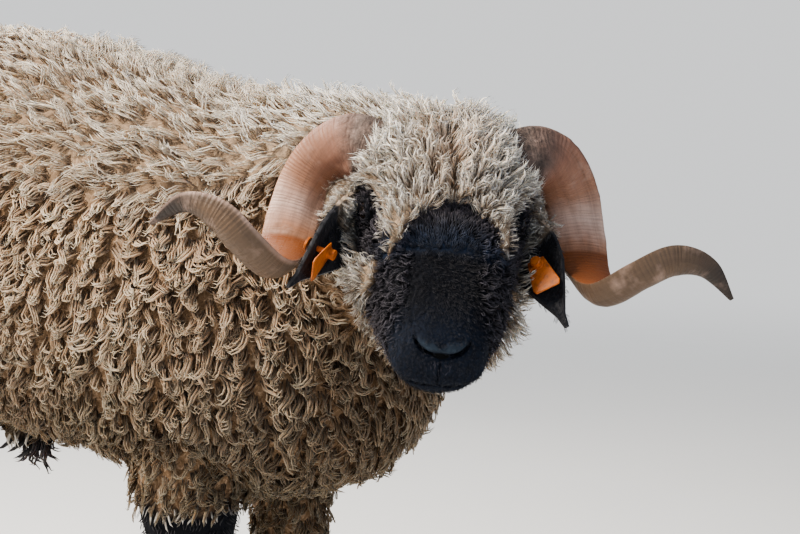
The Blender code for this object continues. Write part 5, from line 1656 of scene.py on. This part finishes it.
def eyeFinish(word):
    f = Finish("eye_" + word, Roughness=0.08, Coat_Weight=0.6, Coat_Roughness=0.03)
    apart = f.node("ShaderNodeSeparateXYZ", {"Vector": f.reading("spot", "Vector")})
    across, tall, out = apart.of("X"), apart.of("Y"), apart.of("Z")
    reach = (across * across + tall * tall).power(0.5)
    slit = ((across / eyeLook["pupilLong"]) * (across / eyeLook["pupilLong"])
            + (tall / eyeLook["pupilHigh"]) * (tall / eyeLook["pupilHigh"])).power(2.0)
    pupil = f.node("ShaderNodeMapRange", {0: slit, 1: 1.3, 2: 0.7}, out="Result")
    rays = f.cloud(f.stretched(f.reading("spot", "Vector"), (500.0, 500.0, 80.0)), 1.0, 3.0)
    amber = f.ramp(rays, [(0.2, (0.004, 0.003, 0.002)), (0.8, (0.014, 0.007, 0.004))])
    iris = f.node("ShaderNodeMapRange", {0: reach, 1: eyeLook["iris"] + 0.0004, 2: eyeLook["iris"] - 0.0006},
                  out="Result")
    ball = f.mix(iris, (0.012, 0.009, 0.008), amber)
    f.set("Base Color", f.mix(pupil * f.node("ShaderNodeMapRange", {0: out, 1: 0.0, 2: 0.002}, out="Result"),
                              ball, (0.002, 0.002, 0.003)))
    return f.material


# Hooves
hoofShape = {"long": 0.070, "wide": 0.030, "high": 0.040, "split": 0.004, "ahead": 0.016}


def makeClaw(name, foot, side, finish):
    outline = ((-0.50, 0.10), (-0.42, 0.62), (-0.10, 0.95), (0.25, 1.0), (0.48, 0.80), (0.50, 0.10))
    rings = []
    for high, shrink, forward in ((0.0, 1.0, 0.0), (0.25, 0.97, 0.03), (0.5, 0.93, 0.055), (0.75, 0.88, 0.085),
                                  (1.0, 0.82, 0.12)):
        ring = []
        for along, wide in outline + ((0.50, 0.0), (-0.50, 0.0)):
            slope = 1.0 - 0.22 * (along + 0.5)
            ring.append(Vector((foot.x + side * (hoofShape["split"] / 2 + hoofShape["wide"] * wide * shrink),
                                foot.y + hoofShape["long"] * (along * shrink + forward) - hoofShape["ahead"],
                                hoofShape["high"] * high * slope)))
        rings.append(ring)
    claw = loft(name + "_fine", rings)
    edge = claw.modifiers.new("edge", "BEVEL")
    edge.width = 0.0022
    edge.segments = 3
    edge.limit_method = "ANGLE"
    edge.angle_limit = math.radians(35)
    applied(claw)
    claw.data.shade_smooth()
    return dress(claw, finish, "hoof", name)


def hoofFinish():
    f = Finish("hoofHorn", Specular_IOR_Level=0.4)
    where = f.place()
    bands = f.node("ShaderNodeTexWave", {"Vector": where, "Scale": 55.0, "Distortion": 3.0, "Detail": 3.0},
                   out=1, bands_direction="Z")
    grit = f.cloud(where, 160.0, 4.0, 0.6)
    f.set("Base Color", f.ramp(bands * 0.5 + grit * 0.6, [(0.2, (0.016, 0.013, 0.011)), (0.9, (0.075, 0.060, 0.048))]))
    f.set("Roughness", 0.45 + grit * 0.3)
    f.bump(bands * 0.5 + grit * 0.6, 0.4, 0.0010)
    return f.material


# Everything in order

makeCamera()
makeStudio()
print("camera, floor and light")
skin = makeSkin()
refineMuzzle(skin)
markSkin(skin)
unwrapSkin(skin)
print("skin marked and unwrapped")
hornMaterial, earMaterial, tagMaterial, hoofMaterial = hornFinish(), earFinish(), tagFinish(), hoofFinish()
ears = {}
for sideWord, side in (("right", -1), ("left", 1)):
    makeHorn(sideWord, hornMaterial)
    ears[sideWord] = makeEar(sideWord, earMaterial)
    markEar(ears[sideWord], sideWord)
    makeTag(sideWord, tagMaterial)
    makeEye(sideWord, side)
growCoat(skin, ears, {"wool": woolFinish(), "black": blackFinish()})
dress(skin, skinFinish(), "wool", "torso", "neck", "head", "tail", "purse", "leg_front_right", "leg_front_left",
      "leg_hind_right", "leg_hind_left")
for name, foot in feet.items():
    for clawSide, clawWord in ((-1, "right"), (1, "left")):
        makeClaw("claw_%s_%s" % (name, clawWord), foot, clawSide, hoofMaterial)
print("horns, ears, tags, eyes and hooves")

for part in list(bench.all_objects):
    bpy.data.objects.remove(part, do_unlink=True)
for group in list(bench.children):
    bpy.data.collections.remove(group)
bpy.data.collections.remove(bench)
